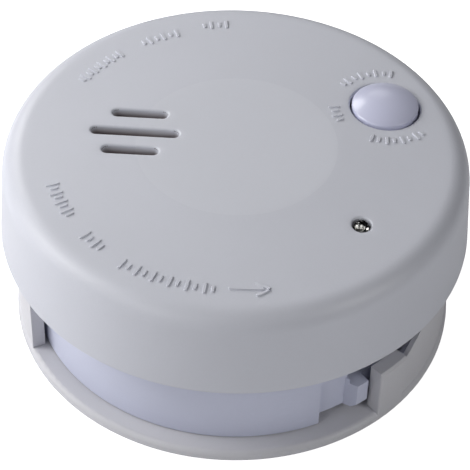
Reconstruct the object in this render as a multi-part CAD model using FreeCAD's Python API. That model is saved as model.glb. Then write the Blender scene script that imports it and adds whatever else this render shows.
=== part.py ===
"""Ceiling smoke alarm: a turn-lock head on a screw-down mounting bracket.

Frame: +Z points from the mounting face into the room, the origin is the centre of the mounting face,
and -Y is the side where the bracket's wall is left open. Millimetres and degrees throughout.
Every physical piece is written to parts/NAME.step; pieces that are alike share one file.
"""
import FreeCAD, Part
import math
import os

Vector = FreeCAD.Vector
UP = Vector(0, 0, 1)

# ---------------------------------------------------------------- driving dimensions

# Bracket: a flat ring with a tall wall round three quarters of it.
PLATE_RADIUS = 47.7
PLATE_THICKNESS = 2.5
PLATE_EDGE_ROUND = 1.2
PLATE_FOOT_ROUND = 0.6             # softened edge against the ceiling
PLATE_OPENING_RADIUS = 30.0
BRACKET_WALL_SETBACK = 0.6        # the plate's rim stands this far outside the wall
BRACKET_WALL = 2.8
BRACKET_WALL_HEIGHT = 16.0        # above the plate
WALL_EDGE_BREAK = 0.5
WALL_LEFT_END_ANGLE = 205.5       # where the wall stops on the left of the open side
WALL_LAP_ANGLE = 0.5              # how far the wall runs into the boss
BOSS_START_ANGLE = 311.0          # block that ends the wall on the right
BOSS_END_ANGLE = 320.3
BOSS_HEIGHT = 12.2                # above the plate
BOSS_CORNER_ROUND = 0.45
RAMP_START_DROP = 1.6             # the ramp starts this far below the top of the boss
RAMP_SLOPE = 40.0                 # degrees, up and away from the boss
RAMP_WALL = 1.0                   # the wall is this thin beside the ramp
RAMP_RELIEF_SPAN = 13.0
RAMP_RELIEF_DROP = 1.0            # the relief starts this far below the ramp
SCREW_HOLE_RADIUS = 2.2
SCREW_HOLE_OFFSET = 37.0          # from the centre to each screw hole
SCREW_SLOT_LENGTH = 8.0

# Turn lock between bracket and head.
LOCK_TURN = 20.0                  # how far the head turns from release to lock
LUG_ANGLES = (350.0, 70.0, 150.0)  # where the head's lugs stand when released
LUG_SPAN = 12.0
LUG_HEIGHT = 2.4
LUG_TO_WALL = 0.4                 # radial running gap outside a lug
HOOK_SPAN = 16.0
HOOK_THICKNESS = 2.0
HOOK_TO_BASE = 0.5                # radial running gap inside a hook
HOOK_TO_LUG = 0.4                 # vertical running gap above a lug
STOP_SPAN = 1.2                   # web under each hook that the lug stops against

# Base housing: a shallow cup, open towards the room.
BASE_TO_WALL = 1.9                # from the base to the inside of the bracket's wall
BASE_WALL = 2.0
BASE_FLOOR = 2.0
BASE_LIFT = 2.4                   # underside above the bracket's plate
BASE_BELOW_BOARD = 0.3            # the wall's top edge stops this far below the board's top
BAND_STEP = 1.0                   # the front band stands out this far
BAND_GAP = 0.3                    # running gap under the band
BAND_HEIGHT = 17.0
BAND_START_ANGLE = 200.0
BAND_END_ANGLE = 295.6
RIB_REACH = 2.6                   # release-stop rib, out from the wall
RIB_SINK = 0.3                    # below the base's underside
RIB_HEIGHT = 8.2
RIB_START_ANGLE = 306.0
RIB_END_ANGLE = 309.7
RIB_FLARE = 2.2                   # degrees, the rib is wider at its root
RIB_NOSE = 1.2                    # bevel at the top and bottom of its outer face
INLET_COUNT = 36
INLET_WIDTH = 3.6
INLET_HEIGHT = 4.4
INLET_BELOW_TOP = 2.4
SIDE_WINDOW_HEIGHT = 5.0          # opening in the wall above the rib
SIDE_WINDOW_SINK = 1.2            # the opening starts this far below the rib's top

# Cover: a mushroom cap that overhangs the base so that air enters from below.
COVER_OVERHANG = 2.3              # the skirt stands this far outside the bracket's plate
COVER_DRAFT = 1.5                 # the wall leans in this far by the top
COVER_WALL = 2.0
COVER_SKIRT_LAP = 2.0             # the skirt reaches this far below the base's top edge
COVER_OVER_BOARD = 18.2           # from the board to the cover's top face
CROWN_ROUND = 5.0
CROWN_DISC_RADIUS = 21.0          # flat disc in the middle of the top
CROWN_DROP = 0.5                  # fall from the disc to the edge
SKIRT_EDGE_ROUND = 0.5
EDGE_BREAK = 0.45                 # softened edge of each hole in the top

SOUND_SLOT_CENTRE = (-21.3, 3.3)
SOUND_SLOT_ANGLE = -3.5
SOUND_SLOT_LENGTHS = (11.8, 18.6, 11.8)
SOUND_SLOT_SHIFTS = (0.45, 0.0, -0.35)   # along each slot, from the rear one to the front one
SOUND_SLOT_WIDTH = 2.3
SOUND_SLOT_PITCH = 5.75

# Test button, its spring and its switch.
BUTTON_CENTRE = (31.3, 14.0)
BUTTON_RADIUS = 7.1
BUTTON_CLEARANCE = 0.4
BUTTON_DOME = 1.9
BUTTON_PROUD = 0.7                # the dome's rim above the cover
BUTTON_FLANGE_REACH = 1.1
BUTTON_FLANGE = 1.0
BUTTON_STEM_RADIUS = 2.4
BUTTON_TRAVEL = 0.6
GUIDE_CLEARANCE = 0.35
GUIDE_WALL = 1.3
GUIDE_DEPTH = 6.0
SPRING_RADIUS = 5.0
SPRING_WIRE = 0.5
SPRING_TURNS = 5
SWITCH_SIDE = 6.0
SWITCH_HEIGHT = 3.6
PLUNGER_RADIUS = 1.7
PLUNGER_HEIGHT = 1.4
PLUNGER_CLEARANCE = 0.1

# Status light.
LED_CENTRE = (25.4, -22.0)
LED_RADIUS = 1.6
LED_CLEARANCE = 0.35
LED_PROUD = 0.9
LED_BODY = 5.2
LED_FLANGE_REACH = 0.3
LED_FLANGE = 0.8
LED_LEAD_SIDE = 0.5
LED_LEAD_PITCH = 1.27

# Circuit board and the small parts on it.
CHIP_CORNER = (-3.0, 16.0)
CHIP_SIZE = (10.0, 6.4, 2.6)
# x, y, radius and height of each capacitor
CAPACITORS = ((13.0, 24.0, 3.0, 9.5), (20.0, 25.5, 2.5, 8.0), (-4.0, 28.5, 2.5, 7.0))
RESISTOR_LENGTH = 5.0
RESISTOR_RADIUS = 0.9
RESISTOR_PITCH = 2.6
REAR_RESISTORS = (4, -2.0, 8.0)   # how many, and where the first one starts
SIDE_RESISTORS = (3, 26.0, -2.4)
COIL_CENTRE = (-10.0, 23.5)
COIL_RADIUS = 4.0
COIL_WAIST_RADIUS = 3.2
COIL_HEIGHT = 7.0
COIL_FLANGE = 1.0
PCB_TO_WALL = 2.0                 # radial gap inside the base
PCB_THICKNESS = 1.6
PCB_GAP = 0.2                     # over the battery bay's roof

# Battery bay and battery (a 9 V block).
BATTERY_LENGTH = 46.4
BATTERY_WIDTH = 26.5
BATTERY_THICKNESS = 17.5
BATTERY_END_CAP = 1.6
BATTERY_CORNER = 2.0
TERMINAL_LENGTH = 2.1
TERMINAL_PITCH = 12.7
STUD_RADIUS = 2.9
SOCKET_RADIUS = 4.1
TERMINAL_FLOOR = 0.5              # metal left behind each terminal's hollow
BAY_CLEARANCE = 0.3
BAY_WALL = 1.5
CONTACT_THICKNESS = 0.4
CONTACT_WIDTH = 7.0
CONTACT_GAP = 0.15

# Sounder.
SOUNDER_RADIUS = 14.2
SOUNDER_WALL = 1.2
SOUNDER_CUP_HEIGHT = 6.8
PIEZO_HEIGHT = 3.6                # brass disc above the board
PIEZO_TO_CUP = 0.3                # radial gap round the brass disc
PIEZO_BRASS = 0.3
PIEZO_CERAMIC_RADIUS = 9.0
PIEZO_CERAMIC = 0.25
PIEZO_PIN_RADIUS = 0.4
PIEZO_PINS = ((3.0, 0.0, True), (-3.5, 5.5, True), (-3.0, -10.0, False))   # x, y, under the ceramic
HORN_THROAT_RADIUS = 3.2
HORN_GAP = 0.3                    # under the cover's ceiling
HORN_SEAL_GAP = 0.3
HORN_SEAL_WALL = 1.2
HORN_SEAL_DEPTH = 3.0

# Optical smoke chamber.
CHAMBER_CENTRE = (6.0, -12.5)
CHAMBER_TO_SOUNDER = 2.34
CHAMBER_FLOOR = 1.5
CHAMBER_TO_CEILING = 2.7
VANE_COUNT = 18
VANE_LENGTH = 4.0
VANE_THICKNESS = 0.8
VANE_ANGLE = 40.0
VANE_TO_RIM = 0.8
SCREEN_THICKNESS = 0.3
SCREEN_WINDOWS = 24
SCREEN_OPEN_SHARE = 0.62          # of the way round
SCREEN_MARGIN = 0.4               # metal left above and below the windows
SENSOR_RADIUS = 2.5
SENSOR_LENGTH = 6.0
SENSOR_CLEAR_ANGLE = 26.0         # no vane stands this near a sensor's line
SADDLE_WALL = 1.0
SADDLE_FRONT = 0.4                # a saddle starts this far in front of its sensor's tip
SENSOR_ANGLES = (200.0, 335.0)    # emitter and receiver, seen from the chamber's centre
SENSOR_TO_RIM = 2.6               # a sensor's back end stops this far inside the chamber's rim

# Screws.
POST_TO_WALL = 4.8                # from the inside of the base to each post's axis
POST_ANGLES = (92.0, 212.0, 338.0)
POST_RADIUS = 3.1
POST_CLEARANCE = 0.5
SCREW_RADIUS = 1.3
SCREW_HEAD_RADIUS = 2.4
SCREW_HEAD = 1.6
SCREW_LENGTH = 14.0
SCREW_BITE = 3.2                  # how far each tip enters the cover's post
SCREW_CROSS_WIDTH = 0.6
SCREW_CROSS_SHARE = 0.7           # of the head's radius
FIT = 0.1                         # clearance of a screw, pin or lead in its hole
BOARD_POST_POINTS = ((-12.0, 30.0), (34.0, -3.0), (-20.0, -27.0))
BOARD_POST_RADIUS = 2.6
BOARD_SCREW_RADIUS = 1.0
BOARD_SCREW_HEAD_RADIUS = 2.0
BOARD_SCREW_HEAD = 1.2
BOARD_SCREW_LENGTH = 7.0

# Building allowances.
CUT = 1.0                         # a cutter runs this far past the face it opens
BURY = 0.5                        # a feature is sunk this far into the body it grows from

# ---------------------------------------------------------------- sizes that follow from them

plate_top = PLATE_THICKNESS
wall_top = plate_top + BRACKET_WALL_HEIGHT
boss_top = plate_top + BOSS_HEIGHT
wall_outer = PLATE_RADIUS - BRACKET_WALL_SETBACK
wall_inner = wall_outer - BRACKET_WALL

base_radius = wall_inner - BASE_TO_WALL
base_inner = base_radius - BASE_WALL
base_bottom = plate_top + BASE_LIFT
base_floor_top = base_bottom + BASE_FLOOR
band_bottom = plate_top + BAND_GAP

battery_bottom = base_bottom + BAY_CLEARANCE
battery_top = battery_bottom + BATTERY_THICKNESS
bay_ceiling = battery_top + BAY_CLEARANCE
bay_roof = bay_ceiling + BAY_WALL
bay_half_width = BATTERY_WIDTH / 2 + BAY_CLEARANCE
battery_span = BATTERY_LENGTH + TERMINAL_LENGTH
bay_half_length = (battery_span + BAY_CLEARANCE + CONTACT_GAP + CONTACT_THICKNESS) / 2
battery_start = -bay_half_length + BAY_CLEARANCE
battery_end = battery_start + BATTERY_LENGTH

board_bottom = bay_roof + PCB_GAP
board_top = board_bottom + PCB_THICKNESS
base_top = board_top - BASE_BELOW_BOARD

cover_radius = PLATE_RADIUS + COVER_OVERHANG
cover_top_radius = cover_radius - COVER_DRAFT
cover_skirt = base_top - COVER_SKIRT_LAP
cover_top = board_top + COVER_OVER_BOARD
cover_ceiling = cover_top - CROWN_DROP - COVER_WALL

lug_bottom = base_bottom
lug_top = lug_bottom + LUG_HEIGHT
hook_bottom = lug_top + HOOK_TO_LUG

flange_top = cover_ceiling - PLUNGER_CLEARANCE
stem_bottom = board_top + SWITCH_HEIGHT + PLUNGER_HEIGHT

centres_apart = math.hypot(CHAMBER_CENTRE[0] - SOUND_SLOT_CENTRE[0],
                           CHAMBER_CENTRE[1] - SOUND_SLOT_CENTRE[1])
chamber_radius = centres_apart - SOUNDER_RADIUS - CHAMBER_TO_SOUNDER
sensor_distance = chamber_radius - SENSOR_TO_RIM - SENSOR_LENGTH   # from the chamber's centre to a tip

screw_tip = board_bottom + SCREW_BITE
screw_seat = screw_tip - SCREW_LENGTH


# ---------------------------------------------------------------- shape helpers

def at_angle(radius, angle, height=0.0):
    """The point at a radius and an angle round the axis."""
    turn = math.radians(angle)
    return Vector(radius * math.cos(turn), radius * math.sin(turn), height)


def cylinder(radius, low, high, centre=(0.0, 0.0)):
    return Part.makeCylinder(radius, high - low, Vector(centre[0], centre[1], low))


def tube(outer, inner, low, high, centre=(0.0, 0.0)):
    return cylinder(outer, low, high, centre).cut(cylinder(inner, low, high, centre))


def block(low, high):
    """A box between two opposite corners."""
    size = Vector(*high) - Vector(*low)
    return Part.makeBox(size.x, size.y, size.z, Vector(*low))


def revolved(outline, start=0.0, span=360.0):
    """Turns a closed outline of (radius, height) points about Z."""
    points = [Vector(radius, 0, height) for radius, height in outline]
    face = Part.Face(Part.makePolygon(points + points[:1]))
    solid = face.revolve(Vector(0, 0, 0), UP, span)
    solid.rotate(Vector(0, 0, 0), UP, start)
    return solid


def arc_block(inner, outer, low, high, start, end):
    """A piece of ring between two radii, two heights and two angles."""
    outline = [(inner, low), (outer, low), (outer, high), (inner, high)]
    return revolved(outline, start, end - start)


def slot_prism(length, width, low, high, centre, angle=0.0):
    """A round-ended prism, its length including both ends."""
    half = length / 2 - width / 2
    body = block((-half, -width / 2, low), (half, width / 2, high))
    body = body.fuse([cylinder(width / 2, low, high, (side * half, 0)) for side in (-1, 1)])
    body = body.removeSplitter()
    body.rotate(Vector(0, 0, 0), UP, angle)
    body.translate(Vector(centre[0], centre[1], 0))
    return body


def flared(make_prism, top):
    """A cutter for a hole whose upper edge is softened in two small steps down from top."""
    cuts = [make_prism(0.0, top - 3 * COVER_WALL, top + CUT)]
    for share in (0.35, 1.0):
        grow = EDGE_BREAK * share
        cuts.append(make_prism(grow, top - EDGE_BREAK * (1 - math.sqrt(1 - (1 - share) ** 2)), top + CUT))
    return cuts


def edges_at(solid, radius, height):
    """The full-circle edges about Z at a radius and height."""
    found = []
    for edge in solid.Edges:
        curve = edge.Curve
        if isinstance(curve, Part.Circle) and abs(curve.Radius - radius) < 1e-4:
            on_axis = math.hypot(curve.Center.x, curve.Center.y) < 1e-4
            if on_axis and abs(curve.Center.z - height) < 1e-4:
                found.append(edge)
    return found


def is_upright(edge, radius):
    """Whether an edge is a straight vertical line at a radius."""
    low, high = edge.Vertexes[0].Point, edge.Vertexes[-1].Point
    level = math.hypot(low.x - high.x, low.y - high.y) < 1e-4
    return level and abs(low.z - high.z) > 1e-4 and abs(math.hypot(low.x, low.y) - radius) < 1e-4


def group(solids):
    """Several separate solids kept as one piece of the model."""
    return Part.makeCompound(solids)


def crown_height(radius):
    """Height of the cover's top face at a radius."""
    if radius <= CROWN_DISC_RADIUS:
        return cover_top
    share = (radius - CROWN_DISC_RADIUS) / (cover_top_radius - CROWN_DISC_RADIUS)
    return cover_top - CROWN_DROP * share


def distance(point):
    return math.hypot(point[0], point[1])


# ---------------------------------------------------------------- bracket

def mounting_bracket():
    plate = revolved([(PLATE_OPENING_RADIUS, 0), (PLATE_RADIUS, 0), (PLATE_RADIUS, plate_top),
                      (PLATE_OPENING_RADIUS, plate_top)])
    plate = plate.makeFillet(PLATE_EDGE_ROUND, edges_at(plate, PLATE_RADIUS, plate_top))
    plate = plate.makeFillet(PLATE_FOOT_ROUND, edges_at(plate, PLATE_RADIUS, 0))
    foot, lip = PLATE_FOOT_ROUND, WALL_EDGE_BREAK
    wall_start = BOSS_END_ANGLE - WALL_LAP_ANGLE
    wall = revolved([(wall_inner, foot), (wall_outer, foot), (wall_outer, wall_top - lip),
                     (wall_outer - lip, wall_top), (wall_inner + lip, wall_top),
                     (wall_inner, wall_top - lip)],
                    wall_start, WALL_LEFT_END_ANGLE + 360 - wall_start)
    relief_low = boss_top - RAMP_START_DROP - RAMP_RELIEF_DROP
    relief = arc_block(wall_inner - CUT, wall_outer - RAMP_WALL, relief_low, wall_top + CUT,
                       BOSS_END_ANGLE, BOSS_END_ANGLE + RAMP_RELIEF_SPAN)
    wall = wall.cut(ramp_cutter()).cut(relief)
    boss = revolved([(wall_inner, foot), (PLATE_RADIUS, foot), (PLATE_RADIUS, boss_top - lip),
                     (PLATE_RADIUS - lip, boss_top), (wall_inner, boss_top)],
                    BOSS_START_ANGLE, BOSS_END_ANGLE - BOSS_START_ANGLE)
    upright = [edge for edge in boss.Edges if is_upright(edge, PLATE_RADIUS)]
    boss = boss.makeFillet(BOSS_CORNER_ROUND, upright)
    body = plate.fuse([wall, boss] + [hook(angle) for angle in LUG_ANGLES])
    body = body.removeSplitter()
    for side in (-1, 1):
        body = body.cut(slot_prism(SCREW_SLOT_LENGTH, 2 * SCREW_HOLE_RADIUS, -CUT, plate_top + CUT,
                                   (side * SCREW_HOLE_OFFSET, 0)))
        body = body.cut(cylinder(SCREW_HOLE_RADIUS, -CUT, plate_top + CUT, (0, side * SCREW_HOLE_OFFSET)))
    return body


def ramp_cutter():
    """Everything above a plane that climbs along the wall away from the boss."""
    tall = BRACKET_WALL_HEIGHT
    cutter = block((wall_inner - CUT, -CUT, 0), (PLATE_RADIUS + CUT, 2 * tall, tall))
    cutter.rotate(Vector(0, 0, 0), Vector(1, 0, 0), RAMP_SLOPE)
    cutter.translate(Vector(0, 0, boss_top - RAMP_START_DROP))
    cutter.rotate(Vector(0, 0, 0), UP, BOSS_END_ANGLE)
    return cutter


def hook(lug_angle):
    """One ledge that holds a locked lug down, with the web that stops it."""
    middle = lug_angle - LOCK_TURN
    start, end = middle - HOOK_SPAN / 2, middle + HOOK_SPAN / 2
    inner = base_radius + HOOK_TO_BASE
    ledge = arc_block(inner, wall_inner + BURY, hook_bottom, hook_bottom + HOOK_THICKNESS, start, end)
    web = arc_block(inner, wall_inner + BURY, plate_top - BURY, hook_bottom, start, start + STOP_SPAN)
    return ledge.fuse(web)


# ---------------------------------------------------------------- base housing

def base_housing():
    cup = revolved([(0, base_bottom), (base_radius, base_bottom), (base_radius, base_top),
                    (base_inner, base_top), (base_inner, base_floor_top), (0, base_floor_top)])
    band = arc_block(base_inner + BURY, base_radius + BAND_STEP, band_bottom,
                     band_bottom + BAND_HEIGHT, BAND_START_ANGLE, BAND_END_ANGLE)
    bay = block((-bay_half_length - BAY_WALL, -bay_half_width - BAY_WALL, base_bottom),
                (bay_half_length + BAY_WALL, bay_half_width + BAY_WALL, bay_roof))
    lugs = [lug(angle) for angle in LUG_ANGLES]
    posts = [cylinder(POST_RADIUS, base_bottom, board_bottom, post_centre(angle)) for angle in POST_ANGLES]
    board_posts = [cylinder(BOARD_POST_RADIUS, base_bottom, board_bottom, point)
                   for point in BOARD_POST_POINTS]
    body = cup.fuse([band, release_rib(), bay] + lugs + posts + board_posts).removeSplitter()
    body = body.cut(bay_hollow())
    for cutter in inlet_windows() + post_wells() + board_post_pilots() + [side_window()]:
        body = body.cut(cutter)
    return body


def release_rib():
    """Upright nose that meets the bracket's boss when the head is free to lift off."""
    root, front = base_radius - BURY, base_radius + RIB_REACH
    low = base_bottom - RIB_SINK
    high = low + RIB_HEIGHT
    corners = [at_angle(root, RIB_START_ANGLE - RIB_FLARE, low), at_angle(front, RIB_START_ANGLE, low),
               at_angle(front, RIB_END_ANGLE, low), at_angle(root, RIB_END_ANGLE, low)]
    rib = Part.Face(Part.makePolygon(corners + corners[:1])).extrude(Vector(0, 0, RIB_HEIGHT))
    nose = revolved([(root - CUT, low), (front - RIB_NOSE, low), (front, low + RIB_NOSE),
                     (front, high - RIB_NOSE / 2), (front - RIB_NOSE, high), (root - CUT, high)],
                    RIB_START_ANGLE - 2 * RIB_FLARE, RIB_END_ANGLE - RIB_START_ANGLE + 3 * RIB_FLARE)
    return rib.common(nose)


def lug(angle):
    reach = wall_inner - LUG_TO_WALL
    half = LUG_SPAN / 2
    return arc_block(base_radius - BURY, reach, lug_bottom, lug_top, angle - half, angle + half)


def post_centre(angle):
    point = at_angle(base_inner - POST_TO_WALL, angle)
    return (point.x, point.y)


def bay_hollow():
    """The battery's room, with the two slits that its contacts rise through."""
    room = block((-bay_half_length, -bay_half_width, band_bottom - CUT),
                 (bay_half_length, bay_half_width, bay_ceiling))
    slits = [contact_slit(side, bay_ceiling - CUT, bay_roof + CUT) for side in (-1, 1)]
    return room.fuse(slits)


def contact_slit(side, low, high):
    """Clearance for one battery contact."""
    middle = side * TERMINAL_PITCH / 2
    half = CONTACT_WIDTH / 2 + CONTACT_GAP
    return block((bay_half_length - CONTACT_THICKNESS - CONTACT_GAP, middle - half, low),
                 (bay_half_length + CONTACT_GAP, middle + half, high))


def inlet_windows():
    """Air windows round the top of the wall."""
    high = base_top - INLET_BELOW_TOP
    low = high - INLET_HEIGHT
    windows = []
    for index in range(INLET_COUNT):
        cutter = block((base_inner - CUT, -INLET_WIDTH / 2, low),
                       (base_radius + BAND_STEP + CUT, INLET_WIDTH / 2, high))
        cutter.rotate(Vector(0, 0, 0), UP, (index + 0.5) * 360.0 / INLET_COUNT)
        windows.append(cutter)
    return windows


def side_window():
    """The opening above the release-stop rib."""
    low = base_bottom - RIB_SINK + RIB_HEIGHT - SIDE_WINDOW_SINK
    return arc_block(base_inner - CUT, base_radius + RIB_REACH + CUT, low, low + SIDE_WINDOW_HEIGHT,
                     RIB_START_ANGLE - RIB_FLARE / 2, BOSS_END_ANGLE)


def post_wells():
    """Screw wells from below, and the screws' clearance holes up through the posts."""
    wells = []
    for angle in POST_ANGLES:
        centre = post_centre(angle)
        wells.append(cylinder(SCREW_HEAD_RADIUS + FIT, base_bottom - CUT, screw_seat, centre))
        wells.append(cylinder(SCREW_RADIUS + FIT, base_bottom, board_bottom + CUT, centre))
    return wells


def board_post_pilots():
    return [cylinder(BOARD_SCREW_RADIUS, board_bottom - BOARD_SCREW_LENGTH, board_bottom + CUT, point)
            for point in BOARD_POST_POINTS]


# ---------------------------------------------------------------- cover

def cover():
    skirt_inner = cover_radius - COVER_WALL
    top_inner = cover_top_radius - COVER_WALL
    body = revolved([(0, cover_top), (CROWN_DISC_RADIUS, cover_top),
                     (cover_top_radius, crown_height(cover_top_radius)),
                     (cover_radius, cover_skirt), (skirt_inner, cover_skirt),
                     (top_inner, cover_ceiling), (0, cover_ceiling)])
    body = body.makeFillet(CROWN_ROUND, edges_at(body, cover_top_radius, crown_height(cover_top_radius)))
    body = body.makeFillet(CROWN_ROUND - COVER_WALL, edges_at(body, top_inner, cover_ceiling))
    body = body.makeFillet(SKIRT_EDGE_ROUND, edges_at(body, cover_radius, cover_skirt)
                           + edges_at(body, skirt_inner, cover_skirt))
    body = body.fuse(cover_posts() + [button_guide(), led_guide(), horn_seal()]).removeSplitter()
    for cutter in sound_slots() + button_hole() + led_hole() + cover_post_pilots():
        body = body.cut(cutter)
    return body


def cover_posts():
    return [cylinder(POST_RADIUS, board_bottom, cover_ceiling + CUT, post_centre(angle))
            for angle in POST_ANGLES]


def cover_post_pilots():
    return [cylinder(SCREW_RADIUS, board_bottom - CUT, screw_tip + CUT, post_centre(angle))
            for angle in POST_ANGLES]


def button_guide():
    """Tube under the top that keeps the button's flange upright."""
    inner = BUTTON_RADIUS + BUTTON_FLANGE_REACH + GUIDE_CLEARANCE
    return tube(inner + GUIDE_WALL, inner, cover_ceiling - GUIDE_DEPTH, cover_ceiling + CUT, BUTTON_CENTRE)


def led_guide():
    inner = LED_RADIUS + LED_FLANGE_REACH + LED_CLEARANCE
    return tube(inner + GUIDE_WALL, inner, cover_ceiling - GUIDE_DEPTH / 2, cover_ceiling + CUT, LED_CENTRE)


def horn_seal():
    """Ring that drops over the sounder's horn."""
    inner = SOUNDER_RADIUS + HORN_SEAL_GAP
    return tube(inner + HORN_SEAL_WALL, inner, cover_ceiling - HORN_SEAL_DEPTH, cover_ceiling + CUT,
                SOUND_SLOT_CENTRE)


def sound_slots():
    turn = math.radians(SOUND_SLOT_ANGLE)
    along = Vector(math.cos(turn), math.sin(turn), 0)
    across = Vector(-math.sin(turn), math.cos(turn), 0)
    cutters = []
    for row, (length, shift) in enumerate(zip(SOUND_SLOT_LENGTHS, SOUND_SLOT_SHIFTS)):
        middle = Vector(SOUND_SLOT_CENTRE[0], SOUND_SLOT_CENTRE[1], 0)
        middle = middle + across * (SOUND_SLOT_PITCH * (1 - row)) + along * shift

        def prism(grow, low, high, length=length, middle=middle):
            return slot_prism(length + 2 * grow, SOUND_SLOT_WIDTH + 2 * grow, low, high,
                              (middle.x, middle.y), SOUND_SLOT_ANGLE)

        cutters += flared(prism, crown_height(distance(middle)))
    return cutters


def button_hole():
    def prism(grow, low, high):
        return cylinder(BUTTON_RADIUS + BUTTON_CLEARANCE + grow, low, high, BUTTON_CENTRE)

    return flared(prism, crown_height(distance(BUTTON_CENTRE)))


def led_hole():
    def prism(grow, low, high):
        return cylinder(LED_RADIUS + LED_CLEARANCE + grow, low, high, LED_CENTRE)

    return flared(prism, crown_height(distance(LED_CENTRE)))


# ---------------------------------------------------------------- test button, spring and switch

def test_button():
    """Domed cap, a retaining flange under the cover, and a stem down to the switch."""
    rim = crown_height(distance(BUTTON_CENTRE)) + BUTTON_PROUD
    sphere_radius = (BUTTON_RADIUS ** 2 + BUTTON_DOME ** 2) / (2 * BUTTON_DOME)
    cap = cylinder(BUTTON_RADIUS, flange_top - BUTTON_FLANGE, rim + BUTTON_DOME)
    ball = Part.makeSphere(sphere_radius, Vector(0, 0, rim + BUTTON_DOME - sphere_radius))
    cap = cap.common(ball.fuse(cylinder(BUTTON_RADIUS, flange_top - BUTTON_FLANGE, rim)))
    flange = cylinder(BUTTON_RADIUS + BUTTON_FLANGE_REACH, flange_top - BUTTON_FLANGE, flange_top)
    stem = cylinder(BUTTON_STEM_RADIUS, stem_bottom, flange_top)
    body = cap.fuse([flange, stem]).removeSplitter()
    body.translate(Vector(BUTTON_CENTRE[0], BUTTON_CENTRE[1], 0))
    return body


def button_spring():
    """Compression spring whose lower end starts on the board, on the side away from the board's edge."""
    low = board_top + SPRING_WIRE / 2
    high = flange_top - BUTTON_FLANGE - SPRING_WIRE / 2
    path = Part.makeHelix((high - low) / SPRING_TURNS, high - low, SPRING_RADIUS)
    profile = Part.Wire(Part.makeCircle(SPRING_WIRE / 2, Vector(SPRING_RADIUS, 0, 0), Vector(0, 1, 0)))
    coil = Part.Wire(path.Edges).makePipeShell([profile], True, True)
    inwards = math.degrees(math.atan2(-BUTTON_CENTRE[1], -BUTTON_CENTRE[0]))
    coil.rotate(Vector(0, 0, 0), UP, inwards)
    coil.translate(Vector(BUTTON_CENTRE[0], BUTTON_CENTRE[1], low))
    return coil


def test_switch():
    half = SWITCH_SIDE / 2
    x, y = BUTTON_CENTRE
    body = block((x - half, y - half, board_top), (x + half, y + half, board_top + SWITCH_HEIGHT))
    depth = PLUNGER_HEIGHT + BUTTON_TRAVEL
    return body.cut(cylinder(PLUNGER_RADIUS + PLUNGER_CLEARANCE, board_top + SWITCH_HEIGHT - depth,
                             board_top + SWITCH_HEIGHT + CUT, BUTTON_CENTRE))


def switch_plunger():
    low = board_top + SWITCH_HEIGHT - PLUNGER_HEIGHT + 2 * PLUNGER_CLEARANCE
    return cylinder(PLUNGER_RADIUS, low, stem_bottom, BUTTON_CENTRE)


# ---------------------------------------------------------------- status light

def led_heights():
    """(bottom of the flange, start of the dome, tip)."""
    tip = crown_height(distance(LED_CENTRE)) + LED_PROUD
    dome = tip - LED_RADIUS
    return dome - LED_BODY + LED_RADIUS, dome, tip


def status_led():
    low, dome, tip = led_heights()
    body = cylinder(LED_RADIUS, low, dome, LED_CENTRE)
    lens = Part.makeSphere(LED_RADIUS, Vector(LED_CENTRE[0], LED_CENTRE[1], dome))
    flange = cylinder(LED_RADIUS + LED_FLANGE_REACH, low, low + LED_FLANGE, LED_CENTRE)
    return body.fuse([lens, flange]).removeSplitter()


def led_leads():
    low = led_heights()[0]
    half = LED_LEAD_SIDE / 2
    x, y = LED_CENTRE
    leads = []
    for side in (-1, 1):
        middle = x + side * LED_LEAD_PITCH
        leads.append(block((middle - half, y - half, board_bottom), (middle + half, y + half, low)))
    return group(leads)


def led_spacer():
    """Standoff that holds the light up at the cover."""
    low = led_heights()[0]
    body = cylinder(LED_RADIUS + LED_FLANGE_REACH, board_top, low, LED_CENTRE)
    half = LED_LEAD_SIDE / 2 + FIT
    x, y = LED_CENTRE
    for side in (-1, 1):
        middle = x + side * LED_LEAD_PITCH
        body = body.cut(block((middle - half, y - half, board_top - CUT),
                              (middle + half, y + half, low + CUT)))
    return body


# ---------------------------------------------------------------- board and what stands on it

def circuit_board():
    board = cylinder(base_inner - PCB_TO_WALL, board_bottom, board_top)
    for angle in POST_ANGLES:
        board = board.cut(cylinder(POST_RADIUS + POST_CLEARANCE, board_bottom - CUT, board_top + CUT,
                                   post_centre(angle)))
    for point in BOARD_POST_POINTS:
        board = board.cut(cylinder(BOARD_SCREW_RADIUS + FIT, board_bottom - CUT, board_top + CUT, point))
    for side in (-1, 1):
        board = board.cut(contact_slit(side, board_bottom - CUT, board_top + CUT))
    half = LED_LEAD_SIDE / 2 + FIT
    x, y = LED_CENTRE
    for side in (-1, 1):
        middle = x + side * LED_LEAD_PITCH
        board = board.cut(block((middle - half, y - half, board_bottom - CUT),
                                (middle + half, y + half, board_top + CUT)))
    return board


def control_chip():
    low = Vector(CHIP_CORNER[0], CHIP_CORNER[1], board_top)
    return block(low, low + Vector(*CHIP_SIZE))


def capacitors():
    return group([cylinder(radius, board_top, board_top + height, (x, y))
                  for x, y, radius, height in CAPACITORS])


def resistors():
    """Small axial parts lying on the board in two rows."""
    bodies = []
    for (count, x, y), step, along in ((REAR_RESISTORS, Vector(1, 0, 0), Vector(0, 1, 0)),
                                       (SIDE_RESISTORS, Vector(0, -1, 0), Vector(1, 0, 0))):
        for index in range(count):
            start = Vector(x, y, board_top + RESISTOR_RADIUS) + step * (RESISTOR_PITCH * index)
            bodies.append(Part.makeCylinder(RESISTOR_RADIUS, RESISTOR_LENGTH, start, along))
    return group(bodies)


def boost_coil():
    """Ferrite drum with its winding waist."""
    low, high = board_top, board_top + COIL_HEIGHT
    flanges = [cylinder(COIL_RADIUS, low, low + COIL_FLANGE, COIL_CENTRE),
               cylinder(COIL_RADIUS, high - COIL_FLANGE, high, COIL_CENTRE)]
    return cylinder(COIL_WAIST_RADIUS, low + COIL_FLANGE, high - COIL_FLANGE, COIL_CENTRE).fuse(flanges)


# ---------------------------------------------------------------- sounder

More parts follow.
